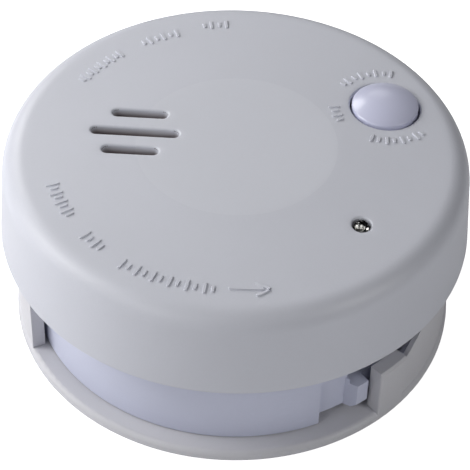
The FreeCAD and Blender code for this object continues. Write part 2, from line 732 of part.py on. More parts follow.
def sounder_cup():
    """Cup on the board whose inner ledge carries the piezo disc."""
    inner = SOUNDER_RADIUS - SOUNDER_WALL
    high = board_top + SOUNDER_CUP_HEIGHT
    ledge = board_top + PIEZO_HEIGHT
    body = cylinder(SOUNDER_RADIUS, board_top, high, SOUND_SLOT_CENTRE)
    body = body.cut(cylinder(inner, ledge, high + CUT, SOUND_SLOT_CENTRE))
    body = body.cut(cylinder(inner - SOUNDER_WALL, board_top + SOUNDER_WALL, ledge + CUT,
                             SOUND_SLOT_CENTRE))
    for point in piezo_pin_points():
        body = body.cut(cylinder(PIEZO_PIN_RADIUS + FIT, board_top - CUT, ledge, point[0]))
    return body


def piezo_pin_points():
    """Where each contact pin stands, and the height it reaches."""
    brass = board_top + PIEZO_HEIGHT
    return [((SOUND_SLOT_CENTRE[0] + x, SOUND_SLOT_CENTRE[1] + y), brass - PIEZO_CERAMIC * under_ceramic)
            for x, y, under_ceramic in PIEZO_PINS]


def piezo_pins():
    return group([cylinder(PIEZO_PIN_RADIUS, board_top, high, point) for point, high in piezo_pin_points()])


def piezo_disc():
    low = board_top + PIEZO_HEIGHT
    return cylinder(SOUNDER_RADIUS - SOUNDER_WALL - PIEZO_TO_CUP, low, low + PIEZO_BRASS, SOUND_SLOT_CENTRE)


def piezo_ceramic():
    high = board_top + PIEZO_HEIGHT
    return cylinder(PIEZO_CERAMIC_RADIUS, high - PIEZO_CERAMIC, high, SOUND_SLOT_CENTRE)


def sounder_horn():
    """Throat plate and tube that lead the sound to the cover's slots."""
    low = board_top + SOUNDER_CUP_HEIGHT
    high = cover_ceiling - HORN_GAP
    body = cylinder(SOUNDER_RADIUS, low, high, SOUND_SLOT_CENTRE)
    inner = SOUNDER_RADIUS - SOUNDER_WALL
    body = body.cut(cylinder(inner, low + SOUNDER_WALL, high + CUT, SOUND_SLOT_CENTRE))
    return body.cut(cylinder(HORN_THROAT_RADIUS, low - CUT, high, SOUND_SLOT_CENTRE))


# ---------------------------------------------------------------- smoke chamber

def chamber_heights():
    """(top of the floor, underside of the cap, top of the cap)."""
    high = cover_ceiling - CHAMBER_TO_CEILING
    return board_top + CHAMBER_FLOOR, high - CHAMBER_FLOOR, high


def near_sensor(angle):
    gaps = [abs((angle - sensor + 180) % 360 - 180) for sensor in SENSOR_ANGLES]
    return min(gaps) < SENSOR_CLEAR_ANGLE


def sensor_solid(angle, radius, start, length):
    """A rod along a sensor's line of sight, from its tip outwards."""
    middle_height = (chamber_heights()[0] + chamber_heights()[1]) / 2
    direction = at_angle(1, angle)
    origin = direction * start + Vector(CHAMBER_CENTRE[0], CHAMBER_CENTRE[1], middle_height)
    return Part.makeCylinder(radius, length, origin, direction)


def chamber_base():
    """Black floor with the light-trap vanes and a saddle for each sensor."""
    floor_top, cap_low, _ = chamber_heights()
    body = cylinder(chamber_radius, board_top, floor_top, CHAMBER_CENTRE)
    pieces = []
    for index in range(VANE_COUNT):
        angle = index * 360.0 / VANE_COUNT
        if near_sensor(angle):
            continue
        vane = block((-VANE_LENGTH / 2, -VANE_THICKNESS / 2, floor_top - BURY),
                     (VANE_LENGTH / 2, VANE_THICKNESS / 2, cap_low))
        vane.rotate(Vector(0, 0, 0), UP, angle + VANE_ANGLE)
        vane.translate(at_angle(chamber_radius - VANE_LENGTH / 2 - VANE_TO_RIM, angle)
                       + Vector(CHAMBER_CENTRE[0], CHAMBER_CENTRE[1], 0))
        pieces.append(vane)
    pieces += [saddle(angle) for angle in SENSOR_ANGLES]
    body = body.fuse(pieces).removeSplitter()
    for angle in SENSOR_ANGLES:
        body = body.cut(sensor_solid(angle, SENSOR_RADIUS + FIT, sensor_distance - SADDLE_FRONT - CUT,
                                     SENSOR_LENGTH + SADDLE_FRONT + 3 * CUT))
    return body


def saddle(angle):
    floor_top, cap_low, _ = chamber_heights()
    half = SENSOR_RADIUS + SADDLE_WALL
    body = block((sensor_distance - SADDLE_FRONT, -half, floor_top - BURY),
                 (sensor_distance + SENSOR_LENGTH, half, cap_low))
    body.rotate(Vector(0, 0, 0), UP, angle)
    body.translate(Vector(CHAMBER_CENTRE[0], CHAMBER_CENTRE[1], 0))
    return body


def sensor(angle):
    rod = sensor_solid(angle, SENSOR_RADIUS, sensor_distance + SENSOR_RADIUS, SENSOR_LENGTH - SENSOR_RADIUS)
    tip = at_angle(sensor_distance + SENSOR_RADIUS, angle) + Vector(
        CHAMBER_CENTRE[0], CHAMBER_CENTRE[1], (chamber_heights()[0] + chamber_heights()[1]) / 2)
    return rod.fuse(Part.makeSphere(SENSOR_RADIUS, tip)).removeSplitter()


def chamber_cap():
    _, low, high = chamber_heights()
    return cylinder(chamber_radius, low, high, CHAMBER_CENTRE)


def insect_screen():
    """Thin perforated band round the chamber."""
    floor_top, cap_low, _ = chamber_heights()
    outer = chamber_radius + SCREEN_THICKNESS + FIT
    body = tube(outer, chamber_radius + FIT, board_top, cap_low + CHAMBER_FLOOR, CHAMBER_CENTRE)
    width = 2 * math.pi * outer / SCREEN_WINDOWS * SCREEN_OPEN_SHARE
    for index in range(SCREEN_WINDOWS):
        window = block((chamber_radius - CUT, -width / 2, floor_top + SCREEN_MARGIN),
                       (outer + CUT, width / 2, cap_low - SCREEN_MARGIN))
        window.rotate(Vector(0, 0, 0), UP, (index + 0.5) * 360.0 / SCREEN_WINDOWS)
        window.translate(Vector(CHAMBER_CENTRE[0], CHAMBER_CENTRE[1], 0))
        body = body.cut(window)
    return body


# ---------------------------------------------------------------- battery

def battery_case():
    half = BATTERY_WIDTH / 2
    body = block((battery_start, -half, battery_bottom), (battery_end - BATTERY_END_CAP, half, battery_top))
    long_edges = [edge for edge in body.Edges
                  if abs(edge.Vertexes[0].Point.x - edge.Vertexes[1].Point.x) > BATTERY_LENGTH / 2]
    return body.makeFillet(BATTERY_CORNER, long_edges)


def battery_end_cap():
    half = BATTERY_WIDTH / 2
    body = block((battery_end - BATTERY_END_CAP, -half, battery_bottom), (battery_end, half, battery_top))
    short_edges = [edge for edge in body.Edges
                   if abs(edge.Vertexes[0].Point.x - edge.Vertexes[1].Point.x) > BATTERY_END_CAP / 2]
    return body.makeFillet(BATTERY_CORNER, short_edges)


def terminal(side, radius, bore):
    height = (battery_bottom + battery_top) / 2
    origin = Vector(battery_end, side * TERMINAL_PITCH / 2, height)
    body = Part.makeCylinder(radius, TERMINAL_LENGTH, origin, Vector(1, 0, 0))
    hollow = Part.makeCylinder(bore, TERMINAL_LENGTH, origin + Vector(TERMINAL_FLOOR, 0, 0),
                               Vector(1, 0, 0))
    return body.cut(hollow)


def battery_terminals():
    return group([terminal(-1, STUD_RADIUS, STUD_RADIUS / 2), terminal(1, SOCKET_RADIUS, STUD_RADIUS)])


def battery_contact(side):
    """Sprung strip on the bay's end wall that rises to the board."""
    middle = side * TERMINAL_PITCH / 2
    half = CONTACT_WIDTH / 2
    low = (battery_bottom + battery_top) / 2 - SOCKET_RADIUS
    return block((bay_half_length - CONTACT_THICKNESS, middle - half, low),
                 (bay_half_length, middle + half, board_top))


# ---------------------------------------------------------------- screws

def screw(radius, length, head_radius, head, tip, direction, centre):
    """A pan-head screw whose shank ends at height tip; direction is +1 pointing up, -1 pointing down."""
    shank_low, shank_high = sorted((tip, tip - direction * length))
    shank = cylinder(radius, shank_low, shank_high, centre)
    seat = tip - direction * length
    head_low, head_high = sorted((seat, seat - direction * head))
    cap = cylinder(head_radius, head_low, head_high, centre)
    half = SCREW_CROSS_WIDTH / 2
    reach = head_radius * SCREW_CROSS_SHARE
    x, y = centre
    recess = block((x - reach, y - half, 0), (x + reach, y + half, head / 2)).fuse(
        block((x - half, y - reach, 0), (x + half, y + reach, head / 2)))
    recess.translate(Vector(0, 0, head_low if direction > 0 else head_high - head / 2))
    return shank.fuse(cap).removeSplitter().cut(recess)


def cover_screws():
    return group([screw(SCREW_RADIUS, SCREW_LENGTH, SCREW_HEAD_RADIUS, SCREW_HEAD, screw_tip, 1,
                        post_centre(angle)) for angle in POST_ANGLES])


def board_screws():
    tip = board_top - BOARD_SCREW_LENGTH
    return group([screw(BOARD_SCREW_RADIUS, BOARD_SCREW_LENGTH, BOARD_SCREW_HEAD_RADIUS, BOARD_SCREW_HEAD,
                        tip, -1, point) for point in BOARD_POST_POINTS])


# ---------------------------------------------------------------- write every piece

NODES = {
    "mounting_bracket": mounting_bracket,
    "base_housing": base_housing,
    "cover": cover,
    "test_button": test_button,
    "button_spring": button_spring,
    "test_switch": test_switch,
    "switch_plunger": switch_plunger,
    "status_led": status_led,
    "led_leads": led_leads,
    "led_spacer": led_spacer,
    "circuit_board": circuit_board,
    "control_chip": control_chip,
    "capacitors": capacitors,
    "resistors": resistors,
    "boost_coil": boost_coil,
    "sounder_cup": sounder_cup,
    "piezo_pins": piezo_pins,
    "piezo_disc": piezo_disc,
    "piezo_ceramic": piezo_ceramic,
    "sounder_horn": sounder_horn,
    "chamber_base": chamber_base,
    "infrared_emitter": lambda: sensor(SENSOR_ANGLES[0]),
    "light_receiver": lambda: sensor(SENSOR_ANGLES[1]),
    "insect_screen": insect_screen,
    "chamber_cap": chamber_cap,
    "battery_case": battery_case,
    "battery_end_cap": battery_end_cap,
    "battery_terminals": battery_terminals,
    "battery_contact_positive": lambda: battery_contact(-1),
    "battery_contact_negative": lambda: battery_contact(1),
    "cover_screws": cover_screws,
    "board_screws": board_screws,
}

os.makedirs("parts", exist_ok=True)
for name, make in NODES.items():
    shape = make()
    shape.exportStep(os.path.join("parts", name + ".step"))
    print(f"{name:26s} solids {len(shape.Solids)} valid {shape.isValid()} volume {shape.Volume:9.1f}")
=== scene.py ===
"""Visual model of a ceiling smoke alarm, lying on its mounting bracket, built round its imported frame."""
import math

import bmesh
import bpy
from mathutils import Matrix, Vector
from mathutils.geometry import delaunay_2d_cdt


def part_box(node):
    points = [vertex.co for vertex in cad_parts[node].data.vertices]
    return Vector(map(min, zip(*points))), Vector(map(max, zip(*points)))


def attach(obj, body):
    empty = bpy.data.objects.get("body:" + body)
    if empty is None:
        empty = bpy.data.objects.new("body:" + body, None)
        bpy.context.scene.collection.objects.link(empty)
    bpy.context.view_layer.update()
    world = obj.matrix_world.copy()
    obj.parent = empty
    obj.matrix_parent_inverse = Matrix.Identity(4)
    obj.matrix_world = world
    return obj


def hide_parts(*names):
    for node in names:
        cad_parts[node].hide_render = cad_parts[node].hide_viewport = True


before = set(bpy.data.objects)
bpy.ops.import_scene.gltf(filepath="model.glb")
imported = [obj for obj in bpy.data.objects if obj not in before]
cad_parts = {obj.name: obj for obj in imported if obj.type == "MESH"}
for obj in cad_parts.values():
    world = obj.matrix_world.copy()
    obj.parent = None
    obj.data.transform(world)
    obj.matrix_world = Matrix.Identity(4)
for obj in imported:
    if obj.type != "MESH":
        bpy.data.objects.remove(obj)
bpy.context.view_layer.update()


# ---------------------------------------------------------------- photographer's table
# A sheet of white paper on a table, lit by soft boxes that are strongest on the left, and a long lens
# looking down at about forty-five degrees.

def lay_paper():
    """White paper with a round cut-out under the alarm; from below it lets the camera see through."""
    mesh = bpy.data.meshes.new("paper")
    bm = bmesh.new()
    rings = []
    for radius in (0.046, 0.06, 0.2, 3.0):
        turns = [2 * math.pi * step / 96 for step in range(96)]
        rings.append([bm.verts.new((radius * math.cos(t), radius * math.sin(t), -0.0002)) for t in turns])
    for inner, outer in zip(rings, rings[1:]):
        for step in range(96):
            bm.faces.new((inner[step], outer[step], outer[(step + 1) % 96], inner[(step + 1) % 96]))
    bm.to_mesh(mesh)
    bm.free()
    paper = bpy.data.objects.new("paper", mesh)
    bpy.context.scene.collection.objects.link(paper)
    white = bpy.data.materials.new("white_paper")
    white.use_nodes = True
    nodes, links = white.node_tree.nodes, white.node_tree.links
    shader = nodes["Principled BSDF"]
    shader.inputs["Base Color"].default_value = (0.9, 0.9, 0.91, 1)
    shader.inputs["Roughness"].default_value = 0.9
    shader.inputs["Emission Color"].default_value = (1, 1, 1, 1)
    ray = nodes.new("ShaderNodeLightPath")
    lift = nodes.new("ShaderNodeMath")
    lift.operation = "MULTIPLY"
    lift.inputs[1].default_value = 0.9
    links.new(ray.outputs["Is Camera Ray"], lift.inputs[0])
    links.new(lift.outputs[0], shader.inputs["Emission Strength"])
    side = nodes.new("ShaderNodeNewGeometry")
    clear = nodes.new("ShaderNodeBsdfTransparent")
    choice = nodes.new("ShaderNodeMixShader")
    links.new(side.outputs["Backfacing"], choice.inputs["Fac"])
    links.new(shader.outputs[0], choice.inputs[1])
    links.new(clear.outputs[0], choice.inputs[2])
    links.new(choice.outputs[0], nodes["Material Output"].inputs["Surface"])
    mesh.materials.append(white)


def hang_soft_box(name, place, aim, width, power, colour):
    lamp = bpy.data.lights.new(name, "AREA")
    lamp.shape = "DISK"
    lamp.size = width
    lamp.energy = power
    lamp.color = colour
    holder = bpy.data.objects.new(name, lamp)
    holder.location = place
    holder.rotation_euler = (Vector(aim) - Vector(place)).to_track_quat("-Z", "Y").to_euler()
    bpy.context.scene.collection.objects.link(holder)


def set_camera():
    lens = bpy.data.cameras.new("camera")
    lens.lens = 147.3
    lens.clip_start, lens.clip_end = 0.01, 20
    camera = bpy.data.objects.new("camera", lens)
    camera.location = (0.0, -0.29495, 0.31383)
    camera.rotation_euler = [math.radians(turn) for turn in (44.938, -1.216, 1.177)]
    bpy.context.scene.collection.objects.link(camera)
    bpy.context.scene.camera = camera


def fill_room():
    """A nearly dark room that the camera sees as white."""
    room = bpy.data.worlds.new("room")
    room.use_nodes = True
    nodes, links = room.node_tree.nodes, room.node_tree.links
    sky = nodes["Background"]
    sky.inputs["Color"].default_value = (0.97, 0.98, 1.0, 1)
    ray = nodes.new("ShaderNodeLightPath")
    level = nodes.new("ShaderNodeMapRange")
    level.inputs["To Min"].default_value = 0.03
    level.inputs["To Max"].default_value = 1.05
    links.new(ray.outputs["Is Camera Ray"], level.inputs["Value"])
    links.new(level.outputs["Result"], sky.inputs["Strength"])
    bpy.context.scene.world = room
    bpy.context.scene.view_settings.view_transform = "Standard"


lay_paper()
set_camera()
fill_room()
for name, place, power in (("low_left_box", (-0.45, 0.0, 0.20), 0.84), ("left_box", (-0.45, 0.0, 0.42), 1.4),
                           ("back_left_box", (-0.32, 0.42, 0.35), 1.4),
                           ("front_left_box", (-0.32, -0.42, 0.35), 0.64),
                           ("right_box", (0.5, -0.3, 0.35), 1.1), ("back_box", (0.0, 0.7, 0.4), 0.28)):
    hang_soft_box(name, place, (0, 0, 0.03), 0.3, power, (1.0, 0.995, 0.985))
hang_soft_box("under_box", (0.25, -0.3, -0.5), (0, 0, 0), 0.4, 2.2, (1.0, 1.0, 1.0))


# ---------------------------------------------------------------- cover
# The mushroom cap: injection-moulded ABS about 2 mm thick, with a fine sparked texture. Its top has a flat
# disc in the middle, three sound slots, and rows of raised marks. Screws from the back hold it to the base.

MM = 0.001
cover_low, cover_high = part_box("cover")
COVER_RADIUS = 50.0
COVER_TOP_RADIUS = 48.5
COVER_WALL = 2.0
COVER_SKIRT = cover_low.z / MM
COVER_TOP = cover_high.z / MM
CROWN_ROUND = 5.0
CROWN_DISC_RADIUS = 21.0
CROWN_DROP = 0.5
SKIRT_ROUND = 0.5
HOLE_ROUND = 0.5
SHEET_RADIUS = COVER_TOP_RADIUS - CROWN_ROUND
CEILING_RADIUS = SHEET_RADIUS - 2.0
COVER_TURNS = 240
SOUND_SLOTS = (((-20.5, 9.0), 11.8), ((-21.3, 3.3), 18.6), ((-22.0, -2.4), 11.8))
SOUND_SLOT_WIDTH = 2.3
SOUND_SLOT_TURN = math.radians(-3.5)
HORN_CENTRE = (-21.3, 3.3)
SCREW_POST_TURNS = (92.0, 212.0, 338.0)
SCREW_POST_OFFSET = 35.6
SCREW_POST_RADIUS = 3.1
SCREW_PILOT = 1.3
BUTTON_CENTRE = (31.3, 14.0)
BUTTON_HOLE = 7.5
LIGHT_CENTRE = (25.4, -22.0)
LIGHT_HOLE = 1.95
GUIDE_TUBES = ((BUTTON_CENTRE, 8.55, 9.85, 6.0), (LIGHT_CENTRE, 2.25, 3.55, 3.0),
               (HORN_CENTRE, 14.5, 15.7, 3.0))
MARK_RISE = 0.3
MARK_WIDTH = 0.5
ARROW_WIDTH = 0.68
MARK_DRAFT = 0.12
DISC_RISE = 0.5
RIM_SINK = 0.2
# How strongly the flat disc is painted paler, as painted sheen.
DISC_PAINTED_SHEEN = 0.16
# Reach, start depth and rate of the dark brown painted shade down in the sound slots.
SLOT_SHADE_REACH = 32.0
SLOT_SHADE_START = 0.2
SLOT_SHADE_PER_METRE = 450.0


def arc_points(centre, radius, start, end, steps):
    turns = [start + (end - start) * step / steps for step in range(steps + 1)]
    return [(centre[0] + radius * math.cos(t), centre[1] + radius * math.sin(t)) for t in turns]


def rounded_outline(corners, steps=6):
    """An open outline of (radius, height) points from corners (radius, height, rounding)."""
    outline = []
    for index, (x, y, rounding) in enumerate(corners):
        here = Vector((x, y))
        if rounding == 0 or index in (0, len(corners) - 1):
            outline.append((x, y))
            continue
        back = (Vector(corners[index - 1][:2]) - here).normalized()
        on = (Vector(corners[index + 1][:2]) - here).normalized()
        half = back.angle(on) / 2
        centre = here + (back + on).normalized() * rounding / math.sin(half)
        first = here + back * rounding / math.tan(half) - centre
        last = here + on * rounding / math.tan(half) - centre
        start = math.atan2(first.y, first.x)
        sweep = (math.atan2(last.y, last.x) - start + math.pi) % (2 * math.pi) - math.pi
        outline += arc_points(centre, rounding, start, start + sweep, steps)
    return outline


def lathe(bm, outline, turns, centre=(0.0, 0.0), closed=False):
    """Turns an outline in millimetres about an upright axis and returns its rings of vertices."""
    rings = []
    for radius, height in outline:
        if radius < 1e-6:
            rings.append([bm.verts.new((centre[0] * MM, centre[1] * MM, height * MM))])
            continue
        ring = []
        for step in range(turns):
            turn = 2 * math.pi * step / turns
            ring.append(bm.verts.new(((centre[0] + radius * math.cos(turn)) * MM,
                                      (centre[1] + radius * math.sin(turn)) * MM, height * MM)))
        rings.append(ring)
    pairs = list(zip(rings, rings[1:])) + ([(rings[-1], rings[0])] if closed else [])
    for lower, upper in pairs:
        for step in range(turns):
            after = (step + 1) % turns
            corners = [lower[step % len(lower)], lower[after % len(lower)],
                       upper[after % len(upper)], upper[step % len(upper)]]
            kept = [v for i, v in enumerate(corners) if v not in corners[:i]]
            bm.faces.new(kept)
    return rings


def finish_mesh(bm, name, material, body, stands_for=(), crease=40):
    """Turns a bmesh into a piece of the alarm, smooth but for its creases."""
    bmesh.ops.remove_doubles(bm, verts=bm.verts, dist=1e-7)
    bmesh.ops.recalc_face_normals(bm, faces=bm.faces)
    mesh = bpy.data.meshes.new(name)
    bm.to_mesh(mesh)
    bm.free()
    mesh.shade_smooth()
    mesh.set_sharp_from_angle(angle=math.radians(crease))
    mesh.materials.append(material)
    piece = bpy.data.objects.new(name, mesh)
    bpy.context.scene.collection.objects.link(piece)
    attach(piece, body)
    if stands_for:
        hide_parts(*stands_for)
    return piece


def capsule(centre, turn, length, width, grow=0.0, steps=6):
    """A round-ended loop, length and width over all, grown outwards by grow."""
    radius = width / 2 + grow
    reach = (length - width) / 2
    along = Vector((math.cos(turn), math.sin(turn)))
    loop = []
    for side in (1, -1):
        middle = Vector(centre) + along * reach * side
        start = turn - math.pi / 2 + (0 if side == 1 else math.pi)
        loop += arc_points(middle, radius, start, start + math.pi, steps)
    return loop


def circle(centre, radius, steps):
    return arc_points(centre, radius, 0, 2 * math.pi * (1 - 1 / steps), steps - 1)


def crown_height(x, y):
    """Height of the top face: a flat disc in the middle, then a slow straight fall to the shoulder."""
    top = COVER_TOP + DISC_RISE
    fall = DISC_RISE + CROWN_DROP + RIM_SINK
    beyond = max(0.0, math.hypot(x, y) - CROWN_DISC_RADIUS)
    return top - fall * beyond / (COVER_TOP_RADIUS - CROWN_DISC_RADIUS)


def hole_loops(grow):
    """The outlines of all five holes in the top, grown outwards."""
    loops = [capsule(centre, SOUND_SLOT_TURN, length, SOUND_SLOT_WIDTH, grow, 8)
             for centre, length in SOUND_SLOTS]
    loops.append(circle(BUTTON_CENTRE, BUTTON_HOLE + grow, 64))
    loops.append(circle(LIGHT_CENTRE, LIGHT_HOLE + grow, 32))
    return loops


def in_hole(x, y, grow=0.0):
    if math.hypot(x - BUTTON_CENTRE[0], y - BUTTON_CENTRE[1]) < BUTTON_HOLE + grow:
        return True
    if math.hypot(x - LIGHT_CENTRE[0], y - LIGHT_CENTRE[1]) < LIGHT_HOLE + grow:
        return True
    along = Vector((math.cos(SOUND_SLOT_TURN), math.sin(SOUND_SLOT_TURN)))
    for centre, length in SOUND_SLOTS:
        offset = Vector((x, y)) - Vector(centre)
        reach = (length - SOUND_SLOT_WIDTH) / 2
        nearest = along * min(reach, max(-reach, offset.dot(along)))
        if (offset - nearest).length < SOUND_SLOT_WIDTH / 2 + grow:
            return True
    return False


def mark_row(centre, height, words):
    """Raised bars round an arc, two to a sign: each word is (radius, first angle, last angle, signs)."""
    bars = []
    for radius, first, last, signs in words:
        pitch = (last - first) / signs
        for sign in range(signs):
            for part, share in ((0.1, 1.0), (0.56, 0.6)):
                turn = math.radians(first + pitch * (sign + part))
                middle = (centre[0] + radius * math.cos(turn), centre[1] + radius * math.sin(turn))
                bars.append((middle, turn, height * share, MARK_WIDTH))
    return bars


def stroke(start, end):
    """One straight raised line between two points."""
    line = Vector(end) - Vector(start)
    return ((Vector(start) + Vector(end)) / 2, math.atan2(line.y, line.x), line.length, ARROW_WIDTH)


def raised_marks():
    """Plain bars round the edge and the button, and the arrow that shows which way the head turns off."""
    marks = mark_row((0, 0), 2.7, ((40.4, 93.9, 103.4, 2), (39.2, 110.4, 124.5, 3), (39.0, 131.6, 151.0, 5),
                                   (39.3, 198.8, 214.7, 4), (40.0, 222.1, 231.2, 2), (40.8, 237.4, 266.9, 6)))
    marks += mark_row(BUTTON_CENTRE, 2.3, ((11.0, 79.6, 150.7, 4), (11.0, 184.8, 214.9, 2),
                                           (11.0, 251.6, 319.8, 4)))
    arrow_tip = (7.2, -40.3)
    marks += [stroke((-0.7, -40.3), (6.2, -40.3)), stroke(arrow_tip, (4.5, -38.6)),
              stroke(arrow_tip, (4.7, -42.0))]
    return marks


def cover_top():
    """(points, heights, constraint edges) of the top sheet with its holes and raised marks."""
    points, heights, edges = [], [], []

    def add_loop(loop, height_of):
        first = len(points)
        for x, y in loop:
            points.append(Vector((x, y)))
            heights.append(height_of(x, y))
        for index in range(len(loop)):
            edges.append((first + index, first + (index + 1) % len(loop)))

    add_loop(circle((0, 0), SHEET_RADIUS, COVER_TURNS), crown_height)
    for step in range(5):
        bend = math.pi / 2 * step / 4
        grow = HOLE_ROUND * (1 - math.cos(bend))
        sink = HOLE_ROUND * (1 - math.sin(bend))
        for loop in hole_loops(grow):
            add_loop(loop, lambda x, y: crown_height(x, y) - sink)
    taken = []
    for centre, turn, length, width in raised_marks():
        add_loop(capsule(centre, turn, length, width, MARK_DRAFT), crown_height)
        add_loop(capsule(centre, turn, length, width), lambda x, y: crown_height(x, y) + MARK_RISE)
        taken.append((Vector(centre), length / 2 + 0.8))
    rings = [1 + 1.6 * index for index in range(27)] + [CROWN_DISC_RADIUS - 0.4, CROWN_DISC_RADIUS + 0.4]
    for radius in rings:
        if radius > SHEET_RADIUS - 0.5:
            continue
        for x, y in circle((0, 0), radius, max(24, int(radius * 5))):
            near_mark = any((Vector((x, y)) - middle).length < reach for middle, reach in taken)
            if not near_mark and not in_hole(x, y, HOLE_ROUND + 0.5):
                points.append(Vector((x, y)))
                heights.append(crown_height(x, y))
    return points, heights, edges


def add_sheet(bm, points, heights, edges, keep):
    """Fills a flat set of points with triangles and lifts each to its height."""
    flat, _, faces, sources, _, _ = delaunay_2d_cdt(points, edges, [], 0, 1e-6)
    lifted = []
    for point, source in zip(flat, sources):
        height = heights[source[0]] if source else crown_height(point.x, point.y)
        lifted.append(bm.verts.new((point.x * MM, point.y * MM, height * MM)))
    for face in faces:
        middle = sum((flat[i] for i in face), Vector((0, 0))) / len(face)
        if keep(middle.x, middle.y):
            bm.faces.new([lifted[i] for i in face])


def build_cover(material):
    bm = bmesh.new()
    points, heights, edges = cover_top()
    add_sheet(bm, points, heights, edges, lambda x, y: not in_hole(x, y))
    ceiling = COVER_TOP - CROWN_DROP - COVER_WALL
    top_edge = crown_height(COVER_TOP_RADIUS, 0)
    shell = rounded_outline([(SHEET_RADIUS - 1, crown_height(SHEET_RADIUS - 1, 0), 0),
                             (COVER_TOP_RADIUS, top_edge, CROWN_ROUND - 0.3),
                             (COVER_RADIUS, COVER_SKIRT, SKIRT_ROUND),
                             (COVER_RADIUS - COVER_WALL, COVER_SKIRT, SKIRT_ROUND),
                             (COVER_TOP_RADIUS - COVER_WALL, ceiling, CROWN_ROUND - COVER_WALL),
                             (CEILING_RADIUS, ceiling, 0)], 10)
    lathe(bm, [(SHEET_RADIUS, crown_height(SHEET_RADIUS, 0))] + shell[1:], COVER_TURNS)
    flat_points, flat_heights, flat_edges = [], [], []
    for loop in [circle((0, 0), CEILING_RADIUS, COVER_TURNS)] + hole_loops(0.0):
        first = len(flat_points)
        flat_points += [Vector(point) for point in loop]
        flat_heights += [ceiling] * len(loop)
        flat_edges += [(first + i, first + (i + 1) % len(loop)) for i in range(len(loop))]
    add_sheet(bm, flat_points, flat_heights, flat_edges, lambda x, y: not in_hole(x, y))
    for loop in hole_loops(0.0):
        upper = [bm.verts.new((x * MM, y * MM, (crown_height(x, y) - HOLE_ROUND) * MM)) for x, y in loop]
        lower = [bm.verts.new((x * MM, y * MM, ceiling * MM)) for x, y in loop]
        for index in range(len(loop)):
            after = (index + 1) % len(loop)
            bm.faces.new((upper[index], upper[after], lower[after], lower[index]))
    board_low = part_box("circuit_board")[0].z / MM
    inner_tubes = []
    for turn in SCREW_POST_TURNS:
        angle = math.radians(turn)
        post = (SCREW_POST_OFFSET * math.cos(angle), SCREW_POST_OFFSET * math.sin(angle))
        inner_tubes.append((post, SCREW_PILOT, SCREW_POST_RADIUS, board_low))
    inner_tubes += [(centre, inner, outer, ceiling - drop) for centre, inner, outer, drop in GUIDE_TUBES]
    for centre, inner, outer, bottom in inner_tubes:
        lathe(bm, [(inner, bottom + 0.2), (inner + 0.2, bottom), (outer - 0.2, bottom), (outer, bottom + 0.2),
                   (outer, ceiling), (inner, ceiling)], 48, centre, closed=True)
    return finish_mesh(bm, "cover_shell", material, "head", ["cover"], 50)


def open_group(name, takes, gives):
    """An empty shader group with named sockets: takes lists (name, start value), gives lists (name, kind)."""
    group = bpy.data.node_groups.new(name, "ShaderNodeTree")
    for label, value in takes:
        kind = "NodeSocketColor" if isinstance(value, tuple) else "NodeSocketFloat"
        group.interface.new_socket(label, in_out="INPUT", socket_type=kind).default_value = value
    for label, kind in gives:
        group.interface.new_socket(label, in_out="OUTPUT", socket_type="NodeSocket" + kind)
    return group, group.nodes.new("NodeGroupInput").outputs, group.nodes.new("NodeGroupOutput").inputs


def plug(tree, value, socket):
    """Feeds a socket from another one, or gives it a plain value."""
    if isinstance(value, bpy.types.NodeSocket):
        tree.links.new(value, socket)
    else:
        socket.default_value = value


def maths(tree, kind, *values):
    node = tree.nodes.new("ShaderNodeMath")
    node.operation = kind
    for value, socket in zip(values, node.inputs):
        plug(tree, value, socket)
    return node.outputs[0]


def noise(tree, scale, detail, stretch=(1, 1, 1)):
    """Cloudy noise fixed to the piece, its scale in lumps per metre along X, Y and Z."""
    place = tree.nodes.new("ShaderNodeTexCoord")
    pull = tree.nodes.new("ShaderNodeVectorMath")
    pull.operation = "MULTIPLY"
    pull.inputs[1].default_value = stretch
    cloud = tree.nodes.new("ShaderNodeTexNoise")
    cloud.inputs["Detail"].default_value = detail
    tree.links.new(place.outputs["Object"], pull.inputs[0])
    tree.links.new(pull.outputs[0], cloud.inputs["Vector"])
    plug(tree, scale, cloud.inputs["Scale"])
    return cloud.outputs["Fac"]


def blend(tree, share, first, second):
    """Mixes two colours by a share."""
    mix = tree.nodes.new("ShaderNodeMix")
    mix.data_type = "RGBA"
    plug(tree, share, mix.inputs["Factor"])
    plug(tree, first, mix.inputs["A"])
    plug(tree, second, mix.inputs["B"])
    return mix.outputs["Result"]


def moulded_skin_group():
    """Moulded plastic: a sparked grain, faint flow mottle and a slightly uneven gloss."""
    group, given, result = open_group("moulded skin", [("Colour", (0.8, 0.8, 0.8, 1)), ("Mottle", 0.03),
                                                       ("Grain per metre", 2500.0), ("Gloss", 0.4)],
                                      [("Colour", "Color"), ("Roughness", "Float"), ("Height", "Float")])
    flow = maths(group, "SUBTRACT", noise(group, 45.0, 3.0), 0.5)
    grain = noise(group, given["Grain per metre"], 2.0)
    shade = maths(group, "MULTIPLY_ADD", flow, given["Mottle"], 1.0)
    shade = maths(group, "MULTIPLY_ADD", maths(group, "SUBTRACT", grain, 0.5), given["Mottle"], shade)
    tint = group.nodes.new("ShaderNodeVectorMath")
    tint.operation = "SCALE"
    plug(group, given["Colour"], tint.inputs[0])
    plug(group, shade, tint.inputs["Scale"])
    plug(group, tint.outputs[0], result["Colour"])
    plug(group, maths(group, "MULTIPLY_ADD", flow, 0.18, given["Gloss"]), result["Roughness"])
    plug(group, grain, result["Height"])
    return group


